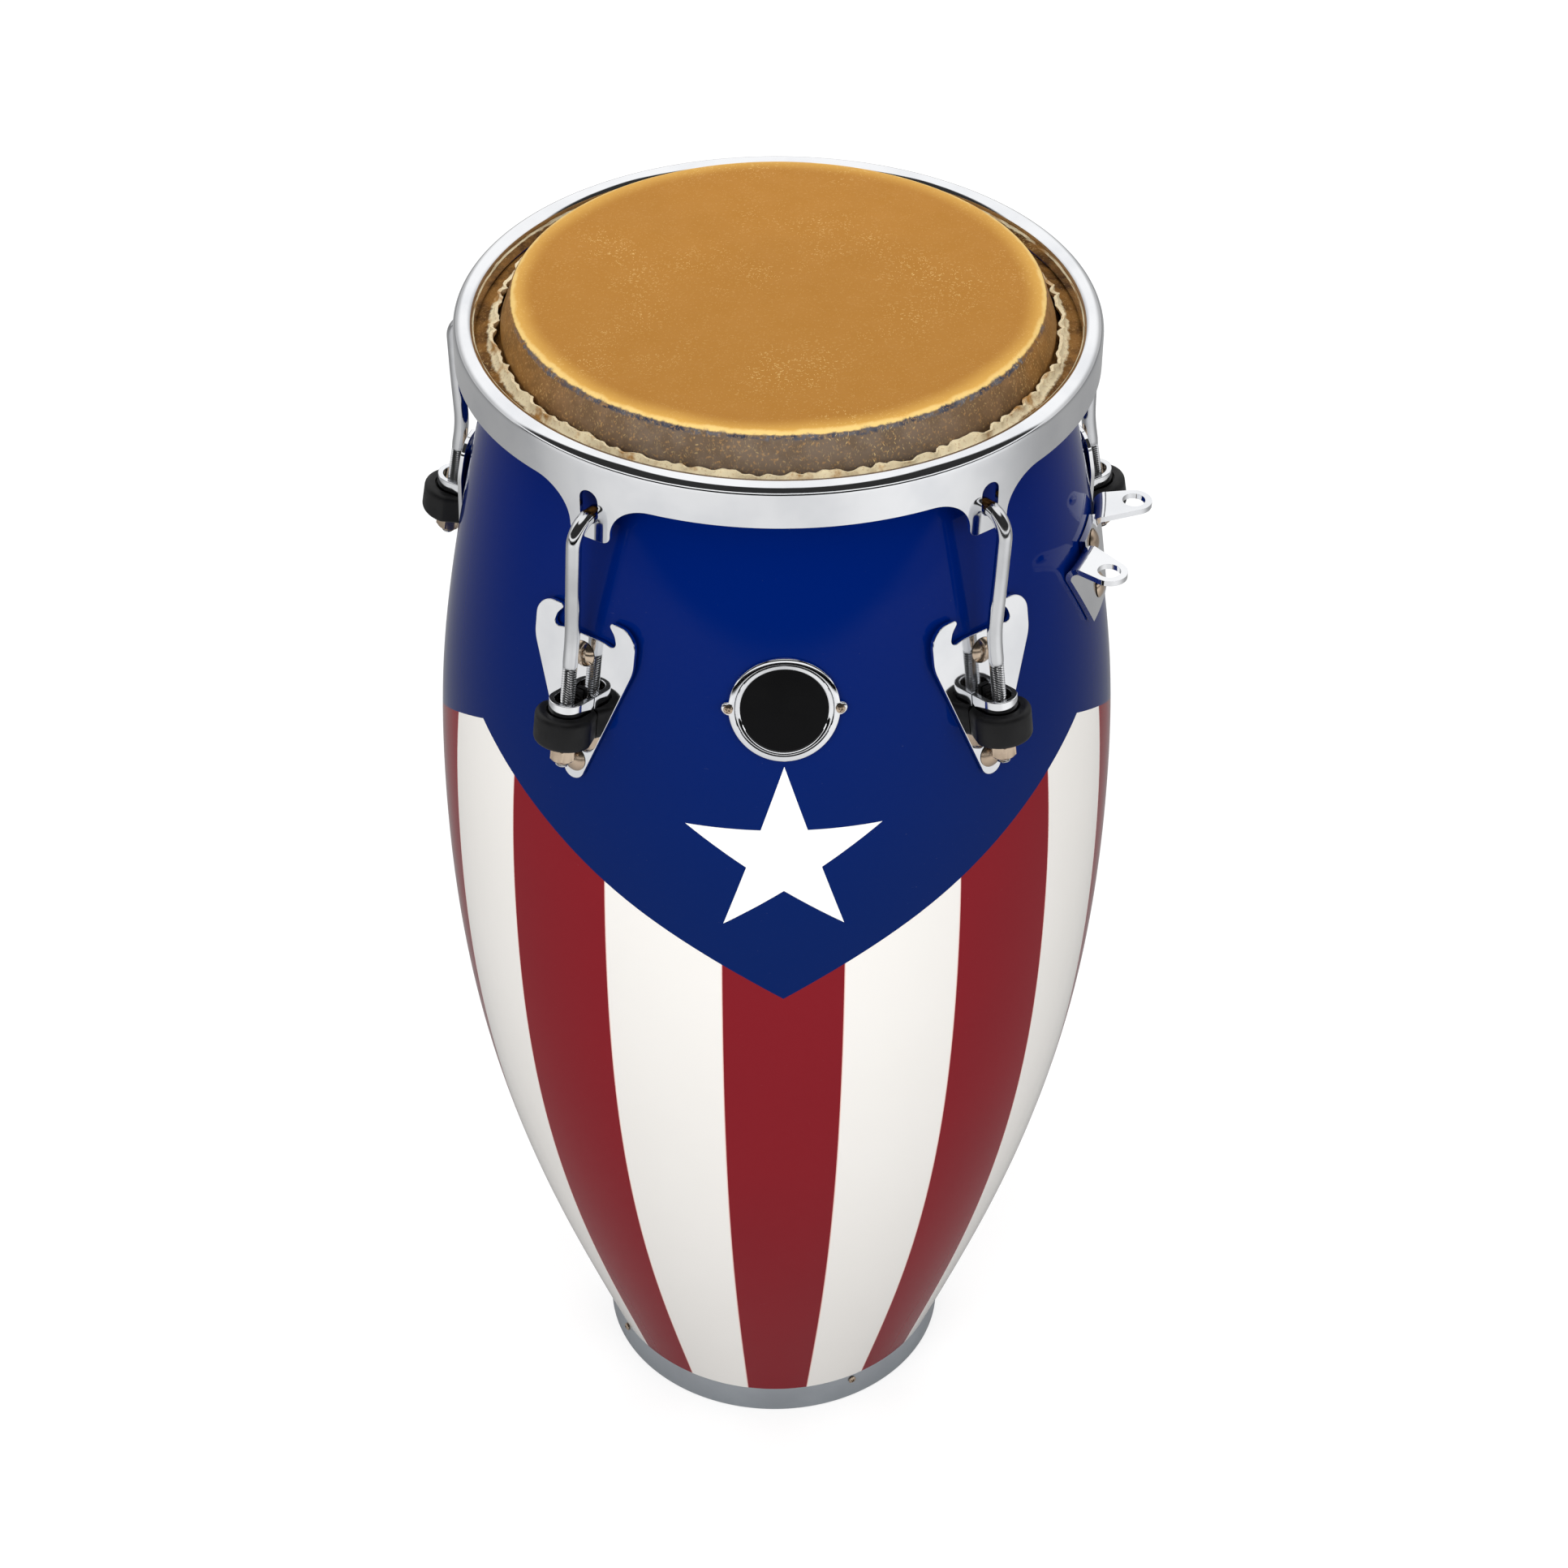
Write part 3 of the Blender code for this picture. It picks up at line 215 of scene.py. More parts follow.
def prism(outline, bottom, top):
    """Raise a closed (x, y) outline from bottom to top along Z."""
    return ring_mesh([[(x, y, height) for x, y in outline] for height in (bottom, top)], False)


def level_ring(angles, reach, height):
    """Ring of points at a height; its reach from Z is one number, or one for each angle."""
    reaches = reach if isinstance(reach, list) else [reach] * len(angles)
    return [(r * math.cos(a), r * math.sin(a), height) for r, a in zip(reaches, angles)]


def outwards(mesh):
    """Turn a mesh built along +Z so that it points along -Y, with its Y upwards."""
    bmesh.ops.transform(mesh, matrix=Matrix.Rotation(math.radians(90), 4, "X"), verts=mesh.verts)
    return mesh


def sweep_rings(path, radii, sides):
    """Rings of a round bar along a path that stays near the YZ plane."""
    rings = []
    for i, (point, radius) in enumerate(zip(path, radii)):
        along = (path[min(i + 1, len(path) - 1)] - path[max(i - 1, 0)]).normalized()
        normal = Vector((1, 0, 0)).cross(along).normalized()
        across = along.cross(normal)
        angles = [2 * math.pi * k / sides for k in range(sides)]
        rings.append([point + across * radius * math.cos(a) + normal * radius * math.sin(a) for a in angles])
    return rings


# %% [markdown]
# ## Putting a piece on the drum
# Each piece rides on a body of the physics model, stands for one or more plain solids, and carries its own
# finish. A narrow bevel catches the light on every sheared edge.

# %% Placing helpers
def bevel_edges(piece, width, segments=2, angle=40):
    """Bevel the edges of a piece that fold by more than an angle in degrees."""
    edge = piece.modifiers.new("sheared_edge", "BEVEL")
    edge.width = width
    edge.segments = segments
    edge.limit_method = "ANGLE"
    edge.angle_limit = math.radians(angle)
    edge.harden_normals = True


def put(name, data, body, nodes, material=None, matrix=None, bevel=0.0):
    """Add a piece, bevel its sharp edges, and let it ride a body in place of the named solids.

    A matrix moves a copy of the mesh, so the piece's object stays at the origin as the solids do.
    """
    if matrix is not None:
        data = data.copy()
        data.transform(matrix)
    piece = bpy.data.objects.new(name, data)
    bpy.context.scene.collection.objects.link(piece)
    if material is not None and not data.materials:
        data.materials.append(material)
    if bevel:
        bevel_edges(piece, bevel)
    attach(piece, body)
    if nodes:
        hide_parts(*nodes)
    return piece


# %% [markdown]
# ## Writing node trees
# Node trees get long when each node and link has its own line. This small class adds a node, sets its
# sockets and links it in one call, so a material below reads from top to bottom like a recipe.

# %% Node recipes
class Recipe:
    """Adds nodes to a tree; a socket's value may be a number, a colour or another node's output."""

    def __init__(self, tree):
        self.tree = tree

    def node(self, kind, sockets=None, **settings):
        """Add a node, apply its settings and fill its sockets."""
        made = self.tree.nodes.new("ShaderNode" + kind)
        for name, value in settings.items():
            setattr(made, name, value)
        for socket, value in (sockets or {}).items():
            self.fill(made.inputs[socket], value)
        return made

    def fill(self, socket, value):
        """Link a node's output to a socket, or give the socket a value of its own."""
        if isinstance(value, bpy.types.NodeSocket):
            self.tree.links.new(value, socket)
        else:
            socket.default_value = value

    def math(self, operation, a, b=0.0, c=0.0):
        """Result of an operation on one, two or three numbers."""
        return self.node("Math", {0: a, 1: b, 2: c}, operation=operation).outputs[0]

    def length(self, a, b):
        """Length of a flat vector from its two parts."""
        return self.math("SQRT", self.math("ADD", self.math("POWER", a, 2.0), self.math("POWER", b, 2.0)))

    def ease(self, value, low, high):
        """0 below low, 1 above high and a smooth step between."""
        sockets = {"Value": value, "From Min": low, "From Max": high}
        return self.node("MapRange", sockets, interpolation_type="SMOOTHSTEP").outputs["Result"]

    def mix(self, share, a, b):
        """Colour a, with a share of colour b mixed in."""
        made = self.node("Mix", data_type="RGBA")
        self.fill(made.inputs["Factor"], share)
        self.fill(made.inputs[6], a)
        self.fill(made.inputs[7], b)
        return made.outputs[2]

    def noise(self, vector, scale, detail=4.0, roughness=0.5):
        """Soft random pattern round 0.5; a higher scale makes it finer."""
        sockets = {"Vector": vector, "Scale": scale, "Detail": detail, "Roughness": roughness}
        return self.node("TexNoise", sockets).outputs["Fac"]

    def stretch(self, vector, scale, turn=0.0):
        """Coordinates turned about Z by an angle in degrees, then scaled on each axis."""
        sockets = {"Vector": vector, "Angle": math.radians(turn)}
        turned = self.node("VectorRotate", sockets, rotation_type="Z_AXIS").outputs[0]
        return self.node("Mapping", {"Vector": turned, "Scale": scale}).outputs[0]

    def place(self):
        """Place of a point on the drum."""
        return self.node("TexCoord").outputs["Object"]

    def split(self, vector):
        """The three parts of a vector."""
        return self.node("SeparateXYZ", {0: vector}).outputs

    def azimuth(self, x, y):
        """Azimuth of a point in degrees, from the badge side."""
        return self.math("DEGREES", self.math("ARCTAN2", x, self.math("MULTIPLY", y, -1.0)))


def colour(red, green, blue):
    """Colour for a socket from 0-255 screen values."""
    linear = []
    for value in (red, green, blue):
        share = value / 255
        linear.append(share / 12.92 if share <= 0.04045 else ((share + 0.055) / 1.055) ** 2.4)
    return (*linear, 1.0)


# %% [markdown]
# ## Effects that several finishes share
# Metal, rubber and lacquer all show fine grain, hairline scratches and a worn or dusty edge. Each effect
# is one node group with named sockets, so a finish only states how big and how strong it is.

# %% Start a node group
def effect(name, outputs, **inputs):
    """New shader node group with named outputs, and inputs with their defaults.

    An underscore in an input's name stands for a space.
    """
    tree = bpy.data.node_groups.new(name, "ShaderNodeTree")
    for label, default in inputs.items():
        label = label.replace("_", " ")
        socket = tree.interface.new_socket(label, in_out="INPUT", socket_type="NodeSocketFloat")
        socket.default_value = default
    for label in outputs:
        tree.interface.new_socket(label, in_out="OUTPUT", socket_type="NodeSocketFloat")
    recipe = Recipe(tree)
    entry = tree.nodes.new("NodeGroupInput")
    leave = tree.nodes.new("NodeGroupOutput")
    return recipe, entry.outputs, leave.inputs


def use(recipe, tree, **values):
    """Place a group in a recipe with its own values; an underscore in a name stands for a space."""
    made = recipe.node("Group", node_tree=tree)
    for name, value in values.items():
        recipe.fill(made.inputs[name.replace("_", " ")], value)
    return made.outputs


# %% Grain, scratches and worn edges
recipe, given, result = effect("fine_grain", ["Height", "Patches"], Scale=900.0, Patch_Scale=14.0)
place = recipe.place()
recipe.fill(result["Height"], recipe.noise(place, given["Scale"], 3.0))
recipe.fill(result["Patches"], recipe.ease(recipe.noise(place, given["Patch Scale"], 3.0), 0.35, 0.7))
FINE_GRAIN = recipe.tree

recipe, given, result = effect("hairline_scratches", ["Mask"], Scale=60.0, Share=0.5)
place = recipe.place()
total = 0.0
for turn in (18, 75, 131):
    streaks = recipe.noise(recipe.stretch(place, (1, 22, 22), turn), given["Scale"], 2.0)
    limit = recipe.math("SUBTRACT", 0.78, recipe.math("MULTIPLY", given["Share"], 0.1))
    thin = recipe.ease(streaks, limit, recipe.math("ADD", limit, 0.05))
    total = recipe.math("MAXIMUM", total, thin)
recipe.fill(result["Mask"], total)
HAIRLINES = recipe.tree

recipe, given, result = effect("worn_edges", ["Mask"], Radius=0.0008, Breakup=300.0)
rounded = recipe.node("Bevel", {"Radius": given["Radius"]}, samples=4).outputs[0]
plain = recipe.node("NewGeometry").outputs["Normal"]
turned = recipe.node("VectorMath", {0: rounded, 1: plain}, operation="DOT_PRODUCT").outputs["Value"]
edge = recipe.ease(turned, 0.995, 0.86)
broken = recipe.noise(recipe.place(), given["Breakup"], 3.0)
recipe.fill(result["Mask"], recipe.math("MULTIPLY", edge, recipe.ease(broken, 0.3, 0.6)))
WORN_EDGES = recipe.tree
print("shared effects:", [group.name for group in bpy.data.node_groups])

# %% [markdown]
# ## A start for every finish
# A finish is a Principled shader. Sockets that are the same all over are set as plain numbers, which any
# renderer can read back; only colour, roughness and normal come from the nodes.

# %% Start a finish
def finish(name, **sockets):
    """New material with a Principled shader; returns the material, its recipe and the shader's inputs.

    An underscore in a socket's name stands for a space.
    """
    material = bpy.data.materials.new(name)
    material.use_nodes = True
    shader = material.node_tree.nodes["Principled BSDF"]
    for socket, value in sockets.items():
        shader.inputs[socket.replace("_", " ")].default_value = value
    return material, Recipe(material.node_tree), shader.inputs


def bumped(recipe, height, depth):
    """Normal of a surface whose height varies by a depth in metres."""
    return recipe.node("Bump", {"Height": height, "Distance": depth, "Strength": 1.0}).outputs[0]


# %% [markdown]
# ## Metals
# Chrome, the duller plating of the hooks, nickel, zinc-plated steel, the satin band and the badge's dark
# groove differ in colour, in how rough they are, and in how much handling they show. One function makes all
# six from those values.

# %% Metal finishes
def metal(name, clean, dull, smooth, rough, grain, grain_depth, scratches):
    """Plated or bare metal that is duller in patches and along hairline scratches."""
    material, recipe, shader = finish(name, Metallic=1.0)
    clean = colour(*clean)
    dull = colour(*dull)
    fine = use(recipe, FINE_GRAIN, Scale=grain, Patch_Scale=30.0)
    lines = use(recipe, HAIRLINES, Share=scratches)["Mask"]
    edges = use(recipe, WORN_EDGES)["Mask"]
    shade = recipe.mix(recipe.math("MULTIPLY", fine["Patches"], 0.6), clean, dull)
    shade = recipe.mix(recipe.math("MULTIPLY", lines, 0.25 * scratches), shade, dull)
    recipe.fill(shader["Base Color"], recipe.mix(recipe.math("MULTIPLY", edges, 0.35), shade, dull))
    worn = recipe.math("MAXIMUM", recipe.math("MULTIPLY", lines, scratches), fine["Patches"])
    rise = recipe.math("MULTIPLY", worn, rough - smooth)
    recipe.fill(shader["Roughness"], recipe.math("ADD", rise, smooth))
    recipe.fill(shader["Normal"], bumped(recipe, fine["Height"], grain_depth))
    return material


CHROME = metal("polished_chrome", (240, 241, 243), (222, 224, 228), 0.04, 0.09, 500, 4e-7, 0.3)
ROD_CHROME = metal("plated_rod", (218, 219, 221), (188, 189, 192), 0.09, 0.18, 900, 1e-6, 0.6)
NICKEL = metal("bright_nickel", (214, 194, 172), (176, 154, 132), 0.16, 0.30, 1400, 4e-6, 0.6)
STEEL = metal("zinc_steel", (168, 170, 174), (128, 129, 131), 0.28, 0.45, 1800, 1e-5, 0.6)
BAND_METAL = metal("satin_band", (206, 213, 220), (192, 199, 206), 0.30, 0.38, 2200, 3e-6, 0.3)
DARK_METAL = metal("shadowed_groove", (44, 44, 46), (30, 30, 31), 0.35, 0.5, 1500, 1e-5, 0.3)
print("metals:", [made.name for made in (CHROME, ROD_CHROME, NICKEL, STEEL, BAND_METAL, DARK_METAL)])

# %% [markdown]
# ## Rubber and enamel
# The bumpers and the foot are moulded black rubber: a little grey where it has been rubbed, with a fine
# matt grain. The badge's plain field is black enamel, which is the same idea with a gloss.

# %% Black finishes
def black(name, body, rubbed, smooth, rough, grain, grain_depth, shine):
    """Moulded or enamelled black that is greyer on its edges and in patches."""
    material, recipe, shader = finish(name, Specular_IOR_Level=shine)
    fine = use(recipe, FINE_GRAIN, Scale=grain, Patch_Scale=90.0)
    edges = use(recipe, WORN_EDGES, Radius=0.0012)["Mask"]
    grey = recipe.math("MAXIMUM", recipe.math("MULTIPLY", fine["Patches"], 0.35), edges)
    shade = recipe.mix(recipe.math("MULTIPLY", grey, 0.7), colour(*body), colour(*rubbed))
    recipe.fill(shader["Base Color"], shade)
    recipe.fill(shader["Roughness"], recipe.math("MULTIPLY_ADD", fine["Patches"], rough - smooth, smooth))
    recipe.fill(shader["Normal"], bumped(recipe, fine["Height"], grain_depth))
    return material


RUBBER = black("moulded_rubber", (11, 11, 12), (30, 30, 31), 0.42, 0.6, 1600, 3e-5, 0.3)
ENAMEL = black("black_enamel", (4, 4, 5), (9, 9, 10), 0.12, 0.2, 700, 1e-6, 0.1)
print("black finishes:", RUBBER.name, ENAMEL.name)

# %% [markdown]
# ## The painted shell
# The shell carries a traditional flag pattern: a blue field that comes down to a point with a white star
# above it, and red and white stripes that narrow towards the foot. The field's edge turns down again on both
# sides of the photograph, at a sixth of a turn, so the same point and star are taken to come three times.
# Each shape is arithmetic on the azimuth and the height of a point, so its edges stay sharp at any distance,
# which an image would not.

# %% Pattern sizes
STRIPE = 20.0
PINLINE = 0.00035
FIELD_REACH = 60.0
FIELD_FOOT = 0.430
FIELD_RISE = 0.1185
# Lower edge of the field, from a point to the next corner: (share of its reach, share of its rise).
FIELD_EDGE = [(0.0, 0.0), (0.16, 0.185), (0.477, 0.504), (0.818, 0.84), (1.0, 1.0)]
STAR_HEIGHT = 0.5267
STAR_RADIUS = 0.0555
STAR_POINTS = 5

# %% Lacquer
LACQUER, recipe, shader = finish("gloss_lacquer", Roughness=0.1, Specular_IOR_Level=0.06)
x, y, height = recipe.split(recipe.place())
azimuth = recipe.azimuth(x, y)
radius = recipe.length(x, y)

# Stripes: red where the number of half stripes from the front is even, with a pale pinline between them.
count = recipe.math("MULTIPLY_ADD", azimuth, 1 / STRIPE, 0.5)
odd = recipe.math("FRACT", recipe.math("MULTIPLY", recipe.math("FLOOR", count), 0.5))
is_white = recipe.math("GREATER_THAN", odd, 0.25)
to_edge = recipe.math("PINGPONG", count, 0.5)
pin_share = recipe.math("DIVIDE", PINLINE / math.radians(STRIPE), radius)
pin = recipe.math("LESS_THAN", to_edge, pin_share)
red = recipe.mix(recipe.noise(recipe.place(), 9.0), colour(132, 27, 36), colour(123, 27, 36))
white = recipe.mix(recipe.noise(recipe.place(), 6.0), colour(243, 240, 236), colour(236, 233, 228))
stripes = recipe.mix(is_white, red, white)
stripes = recipe.mix(recipe.math("MULTIPLY", pin, 0.7), stripes, colour(244, 205, 196))

# Field: everything above a line that rises from each point to the corners beside it.
edge_curve = recipe.node("FloatCurve")
curve = edge_curve.mapping.curves[0]
for x, y in FIELD_EDGE[1:-1]:
    curve.points.new(x, y)
curve.points[0].location = FIELD_EDGE[0]
curve.points[-1].location = FIELD_EDGE[-1]
edge_curve.mapping.update()
reach = recipe.math("DIVIDE", recipe.math("PINGPONG", azimuth, FIELD_REACH), FIELD_REACH)
recipe.fill(edge_curve.inputs["Value"], reach)
edge_height = recipe.math("MULTIPLY_ADD", edge_curve.outputs[0], FIELD_RISE, FIELD_FOOT)
above = recipe.math("SUBTRACT", height, edge_height)
in_field = recipe.math("GREATER_THAN", above, 0.0)
# The blue is painted brighter and deeper towards the top: a painted sheen of the light from above, on the
# real blue paint.
blue = recipe.mix(recipe.ease(height, 0.45, 0.74), colour(2, 30, 90), colour(0, 27, 102))
paint = recipe.mix(in_field, stripes, blue)

# Star: a point is inside when it lies on the near side of the star's edge, folded into one half of one arm.
nearest = recipe.math("RADIANS", recipe.math("WRAP", azimuth, FIELD_REACH, -FIELD_REACH))
across = recipe.math("MULTIPLY", nearest, radius)
up = recipe.math("SUBTRACT", height, STAR_HEIGHT)
spin = recipe.math("ARCTAN2", across, up)
arm = 2 * math.pi / STAR_POINTS
folded = recipe.math("PINGPONG", spin, arm / 2)
reach = recipe.length(across, up)
tip = Vector((STAR_RADIUS, 0))
inner = STAR_RADIUS * math.cos(arm) / math.cos(arm / 2)
dip = Vector((inner * math.cos(arm / 2), inner * math.sin(arm / 2)))
outward = Vector((dip.y - tip.y, tip.x - dip.x)).normalized()
flat = recipe.math("MULTIPLY", recipe.math("MULTIPLY", reach, recipe.math("COSINE", folded)), outward.x)
rise = recipe.math("MULTIPLY", recipe.math("MULTIPLY", reach, recipe.math("SINE", folded)), outward.y)
in_star = recipe.math("LESS_THAN", recipe.math("ADD", flat, rise), tip.dot(outward))
paint = recipe.mix(in_star, paint, colour(247, 248, 246))

# Handling: faint patches of haze, fine scratches and the slight ripple of sprayed lacquer.
fine = use(recipe, FINE_GRAIN, Scale=160.0, Patch_Scale=7.0)
lines = use(recipe, HAIRLINES, Scale=30.0, Share=0.15)["Mask"]
paint = recipe.mix(recipe.math("MULTIPLY", lines, 0.05), paint, colour(200, 200, 200))
recipe.fill(shader["Base Color"], paint)
haze = recipe.math("MULTIPLY_ADD", fine["Patches"], 0.02, 0.05)
recipe.fill(shader["Roughness"], recipe.math("MULTIPLY_ADD", lines, 0.08, haze))
recipe.fill(shader["Normal"], bumped(recipe, fine["Height"], 0.00001))
print("stars:", round(180 / FIELD_REACH), "stripes round the drum:", round(360 / STRIPE))

# %% [markdown]
# ## The wood inside
# The shell is open at the foot, so its inside can be seen. It is bare wood, glued up from staves: each
# stave gets its own tone, and the grain runs up the drum.

# %% Bare staves
STAVE = 14.4
STAVES, recipe, shader = finish("bare_staves", Roughness=0.7)
place = recipe.place()
x, y, _ = recipe.split(place)
count = recipe.math("DIVIDE", recipe.azimuth(x, y), STAVE)
stave = recipe.math("FLOOR", count)
tone = recipe.node("TexWhiteNoise", {"W": stave}, noise_dimensions="1D").outputs["Value"]
grain = recipe.noise(recipe.stretch(place, (1, 1, 0.06)), 420.0, 6.0, 0.65)
rings = recipe.noise(recipe.stretch(place, (1, 1, 0.1)), 60.0, 3.0)
wood = recipe.mix(tone, colour(196, 158, 112), colour(168, 126, 84))
wood = recipe.mix(recipe.ease(grain, 0.45, 0.75), wood, colour(128, 90, 56))
wood = recipe.mix(recipe.math("MULTIPLY", recipe.ease(rings, 0.4, 0.7), 0.4), wood, colour(150, 108, 68))
joint = recipe.math("LESS_THAN", recipe.math("PINGPONG", count, 0.5), 0.012)
recipe.fill(shader["Base Color"], recipe.mix(joint, wood, colour(84, 56, 34)))
recipe.fill(shader["Roughness"], recipe.math("MULTIPLY_ADD", grain, 0.3, 0.5))
recipe.fill(shader["Normal"], bumped(recipe, grain, 0.0002))
print("staves round the shell:", round(360 / STAVE))

# %% [markdown]
# ## Rawhide
# The head is one sheet of rawhide. It is amber and slightly waxy on top, paler where it is pulled thin over
# the bearing edge, greyed down the front of its side wall by a painted sheen, and cream at its ragged cut
# edge.
# A "cut_edge" value stored on the mesh says where the raw edge is; the rest follows from the place alone.

# %% Rawhide finish
RAWHIDE, recipe, shader = finish("rawhide", Roughness=0.45, Specular_IOR_Level=0.06)
place = recipe.place()
x, y, height = recipe.split(place)
radius = recipe.length(x, y)
frontness = recipe.math("DIVIDE", recipe.math("MULTIPLY", y, -1.0), NECK_RADIUS)
cloud = recipe.noise(place, 11.0, 5.0)
mottle = recipe.noise(place, 70.0, 5.0, 0.6)
ragged = recipe.noise(place, 160.0, 4.0, 0.7)

# Top: amber that lightens towards the far side, then a pale band over the bearing edge.
amber = recipe.mix(recipe.ease(y, -0.12, 0.14), colour(177, 124, 54), colour(188, 131, 56))
amber = recipe.mix(recipe.math("MULTIPLY", recipe.ease(cloud, 0.4, 0.7), 0.5), amber, colour(177, 123, 52))
amber = recipe.mix(recipe.math("MULTIPLY", mottle, 0.3), amber, colour(158, 104, 38))
wandering = recipe.math("MULTIPLY_ADD", cloud, 0.014, radius)
pulled = recipe.ease(wandering, NECK_RADIUS - 0.0115, NECK_RADIUS + 0.0030)
top = recipe.mix(recipe.math("MULTIPLY", pulled, 0.8), amber, colour(228, 178, 90))
wandering = recipe.math("MULTIPLY_ADD", mottle, 0.006, radius)
thin = recipe.ease(wandering, NECK_RADIUS - 0.0042, NECK_RADIUS - 0.0020)
top = recipe.mix(recipe.math("MULTIPLY", thin, 0.75), top, colour(240, 208, 134))

# Side wall: amber at the sides and back; at the front a painted grey sheen makes it grey-brown and darker.
painted_front_sheen = recipe.ease(recipe.math("MULTIPLY_ADD", cloud, 0.5, frontness), 0.55, 1.2)
side = recipe.mix(painted_front_sheen, colour(142, 100, 50), colour(114, 99, 85))
darker = recipe.math("MULTIPLY", recipe.ease(mottle, 0.4, 0.65), 0.4)
side = recipe.mix(darker, side, colour(84, 64, 42))
wandering = recipe.math("MULTIPLY_ADD", ragged, 0.0012, height)
is_side = recipe.ease(wandering, HEAD_HEIGHT - 0.0007, HEAD_HEIGHT - 0.0015)
skin = recipe.mix(is_side, top, side)

# A thin blue-grey line along the shoulder of the bearing edge, in patches that gather at the front.
SHOULDER_LINE_HEIGHT = HEAD_HEIGHT - 0.0028
near = recipe.math("ABSOLUTE", recipe.math("SUBTRACT", height, SHOULDER_LINE_HEIGHT))
line = recipe.ease(recipe.math("MULTIPLY_ADD", ragged, 0.0044, near), 0.0040, 0.0026)
line = recipe.math("MULTIPLY", line, recipe.ease(recipe.noise(place, 330.0, 3.0), 0.36, 0.54))
patchy = recipe.math("MULTIPLY_ADD", recipe.noise(place, 30.0, 5.0, 0.6), 2.2, frontness)
patchy = recipe.ease(patchy, 0.95, 1.75)
shoulder_line_tone = recipe.mix(recipe.ease(mottle, 0.35, 0.65), colour(42, 48, 64), colour(98, 97, 102))
skin = recipe.mix(recipe.math("MULTIPLY", line, patchy), skin, shoulder_line_tone)

# Tuck and cut edge.
tucked = recipe.ease(height, HEAD_HEIGHT - 0.0175, HEAD_HEIGHT - 0.0185)
outside = recipe.ease(radius, NECK_RADIUS + 0.0024, NECK_RADIUS + 0.0028)
# In the tuck under the rim the brown is darker in patches: partly the hide's own tone, partly painted shade
# of the hollow.
rolled = recipe.mix(recipe.ease(mottle, 0.35, 0.65), colour(84, 54, 24), colour(152, 108, 56))
skin = recipe.mix(recipe.math("MULTIPLY", tucked, outside), skin, rolled)
cut = recipe.node("Attribute", attribute_name="cut_edge", attribute_type="GEOMETRY").outputs["Fac"]
raw = recipe.mix(recipe.ease(mottle, 0.5, 0.68), colour(255, 240, 202), colour(188, 138, 76))
skin = recipe.mix(recipe.ease(recipe.math("MULTIPLY_ADD", ragged, 0.5, cut), 0.50, 0.68), skin, raw)

# Dust: fine golden specks on the side wall.
dust = recipe.ease(recipe.noise(place, 700.0, 2.0), 0.56, 0.70)
dust = recipe.math("MULTIPLY", recipe.math("MULTIPLY", dust, 0.4), is_side)
skin = recipe.mix(dust, skin, colour(196, 150, 92))

# Flecks: short pale scuffs in four directions, thicker in some places than in others.
flecks = 0.0
for turn, size in ((12, 230.0), (64, 300.0), (-38, 260.0), (-80, 340.0)):
    cells = recipe.node("TexVoronoi", {"Vector": recipe.stretch(place, (1, 6, 1), turn), "Scale": size})
    chance = recipe.node("SeparateColor", {0: cells.outputs["Color"]}).outputs[0]
    lit = recipe.math("GREATER_THAN", chance, 0.70)
    dot = recipe.ease(cells.outputs["Distance"], 0.26, 0.12)
    flecks = recipe.math("MAXIMUM", flecks, recipe.math("MULTIPLY", dot, lit))
crowd = recipe.ease(recipe.noise(place, 17.0, 3.0), 0.46, 0.70)
crowd = recipe.math("MULTIPLY_ADD", crowd, 0.75, 0.2)
skin = recipe.mix(recipe.math("MULTIPLY", flecks, crowd), skin, colour(246, 212, 140))

recipe.fill(shader["Base Color"], skin)
recipe.fill(shader["Roughness"], recipe.math("MULTIPLY_ADD", mottle, 0.3, 0.32))
relief = recipe.math("MULTIPLY_ADD", ragged, 0.4, mottle)
recipe.fill(shader["Normal"], bumped(recipe, relief, 0.00025))
print("nodes in the rawhide:", len(RAWHIDE.node_tree.nodes))

# %% [markdown]
# ## The shell
# The outside follows a natural cubic curve through a few points between the foot, the belly and the neck,
# as bent staves do. Turning it in 192 steps leaves no facets. Faces that look inwards get the wood finish.

# %% The shell's curve
def smooth_curve(points):
    """Natural cubic curve through (x, y) points, as a function of x."""
    xs = np.array([point[0] for point in points])
    ys = np.array([point[1] for point in points])
    steps = np.diff(xs)
    slopes = np.diff(ys) / steps
    system = np.eye(len(xs))
    pull = np.zeros(len(xs))
    for i in range(1, len(xs) - 1):
        system[i, i - 1:i + 2] = (steps[i - 1], 2 * (steps[i - 1] + steps[i]), steps[i])
        pull[i] = 6 * (slopes[i] - slopes[i - 1])
    bends = np.linalg.solve(system, pull)

    def value(x):
        i = min(max(int(np.searchsorted(xs, x)) - 1, 0), len(steps) - 1)
        after = (x - xs[i]) / steps[i]
        before = 1 - after
        sag = (before ** 3 - before) * bends[i] + (after ** 3 - after) * bends[i + 1]
        return float(before * ys[i] + after * ys[i + 1] + sag * steps[i] ** 2 / 6)

    return value


# How the shell narrows from the belly: (share of the way, share of the narrowing).
TOWARDS_FOOT = [(0.35, 0.112), (0.70, 0.498), (1.0, 1.0)]
TOWARDS_NECK = [(0.27, 0.071), (0.56, 0.334), (0.87, 0.741), (0.95, 0.884), (1.0, 1.0)]
points = [(BELLY_HEIGHT, BELLY_RADIUS)]
for way, narrowing in TOWARDS_FOOT:
    height = BELLY_HEIGHT + way * (BAND_TOP - BELLY_HEIGHT)
    points.insert(0, (height, BELLY_RADIUS + narrowing * (FOOT_RADIUS - BELLY_RADIUS)))
for way, narrowing in TOWARDS_NECK:
    height = BELLY_HEIGHT + way * (NECK_HEIGHT - BELLY_HEIGHT)
    points.append((height, BELLY_RADIUS + narrowing * (NECK_RADIUS - BELLY_RADIUS)))
shell_radius = smooth_curve(points)
print("belly radius:", round(shell_radius(BELLY_HEIGHT), 4))

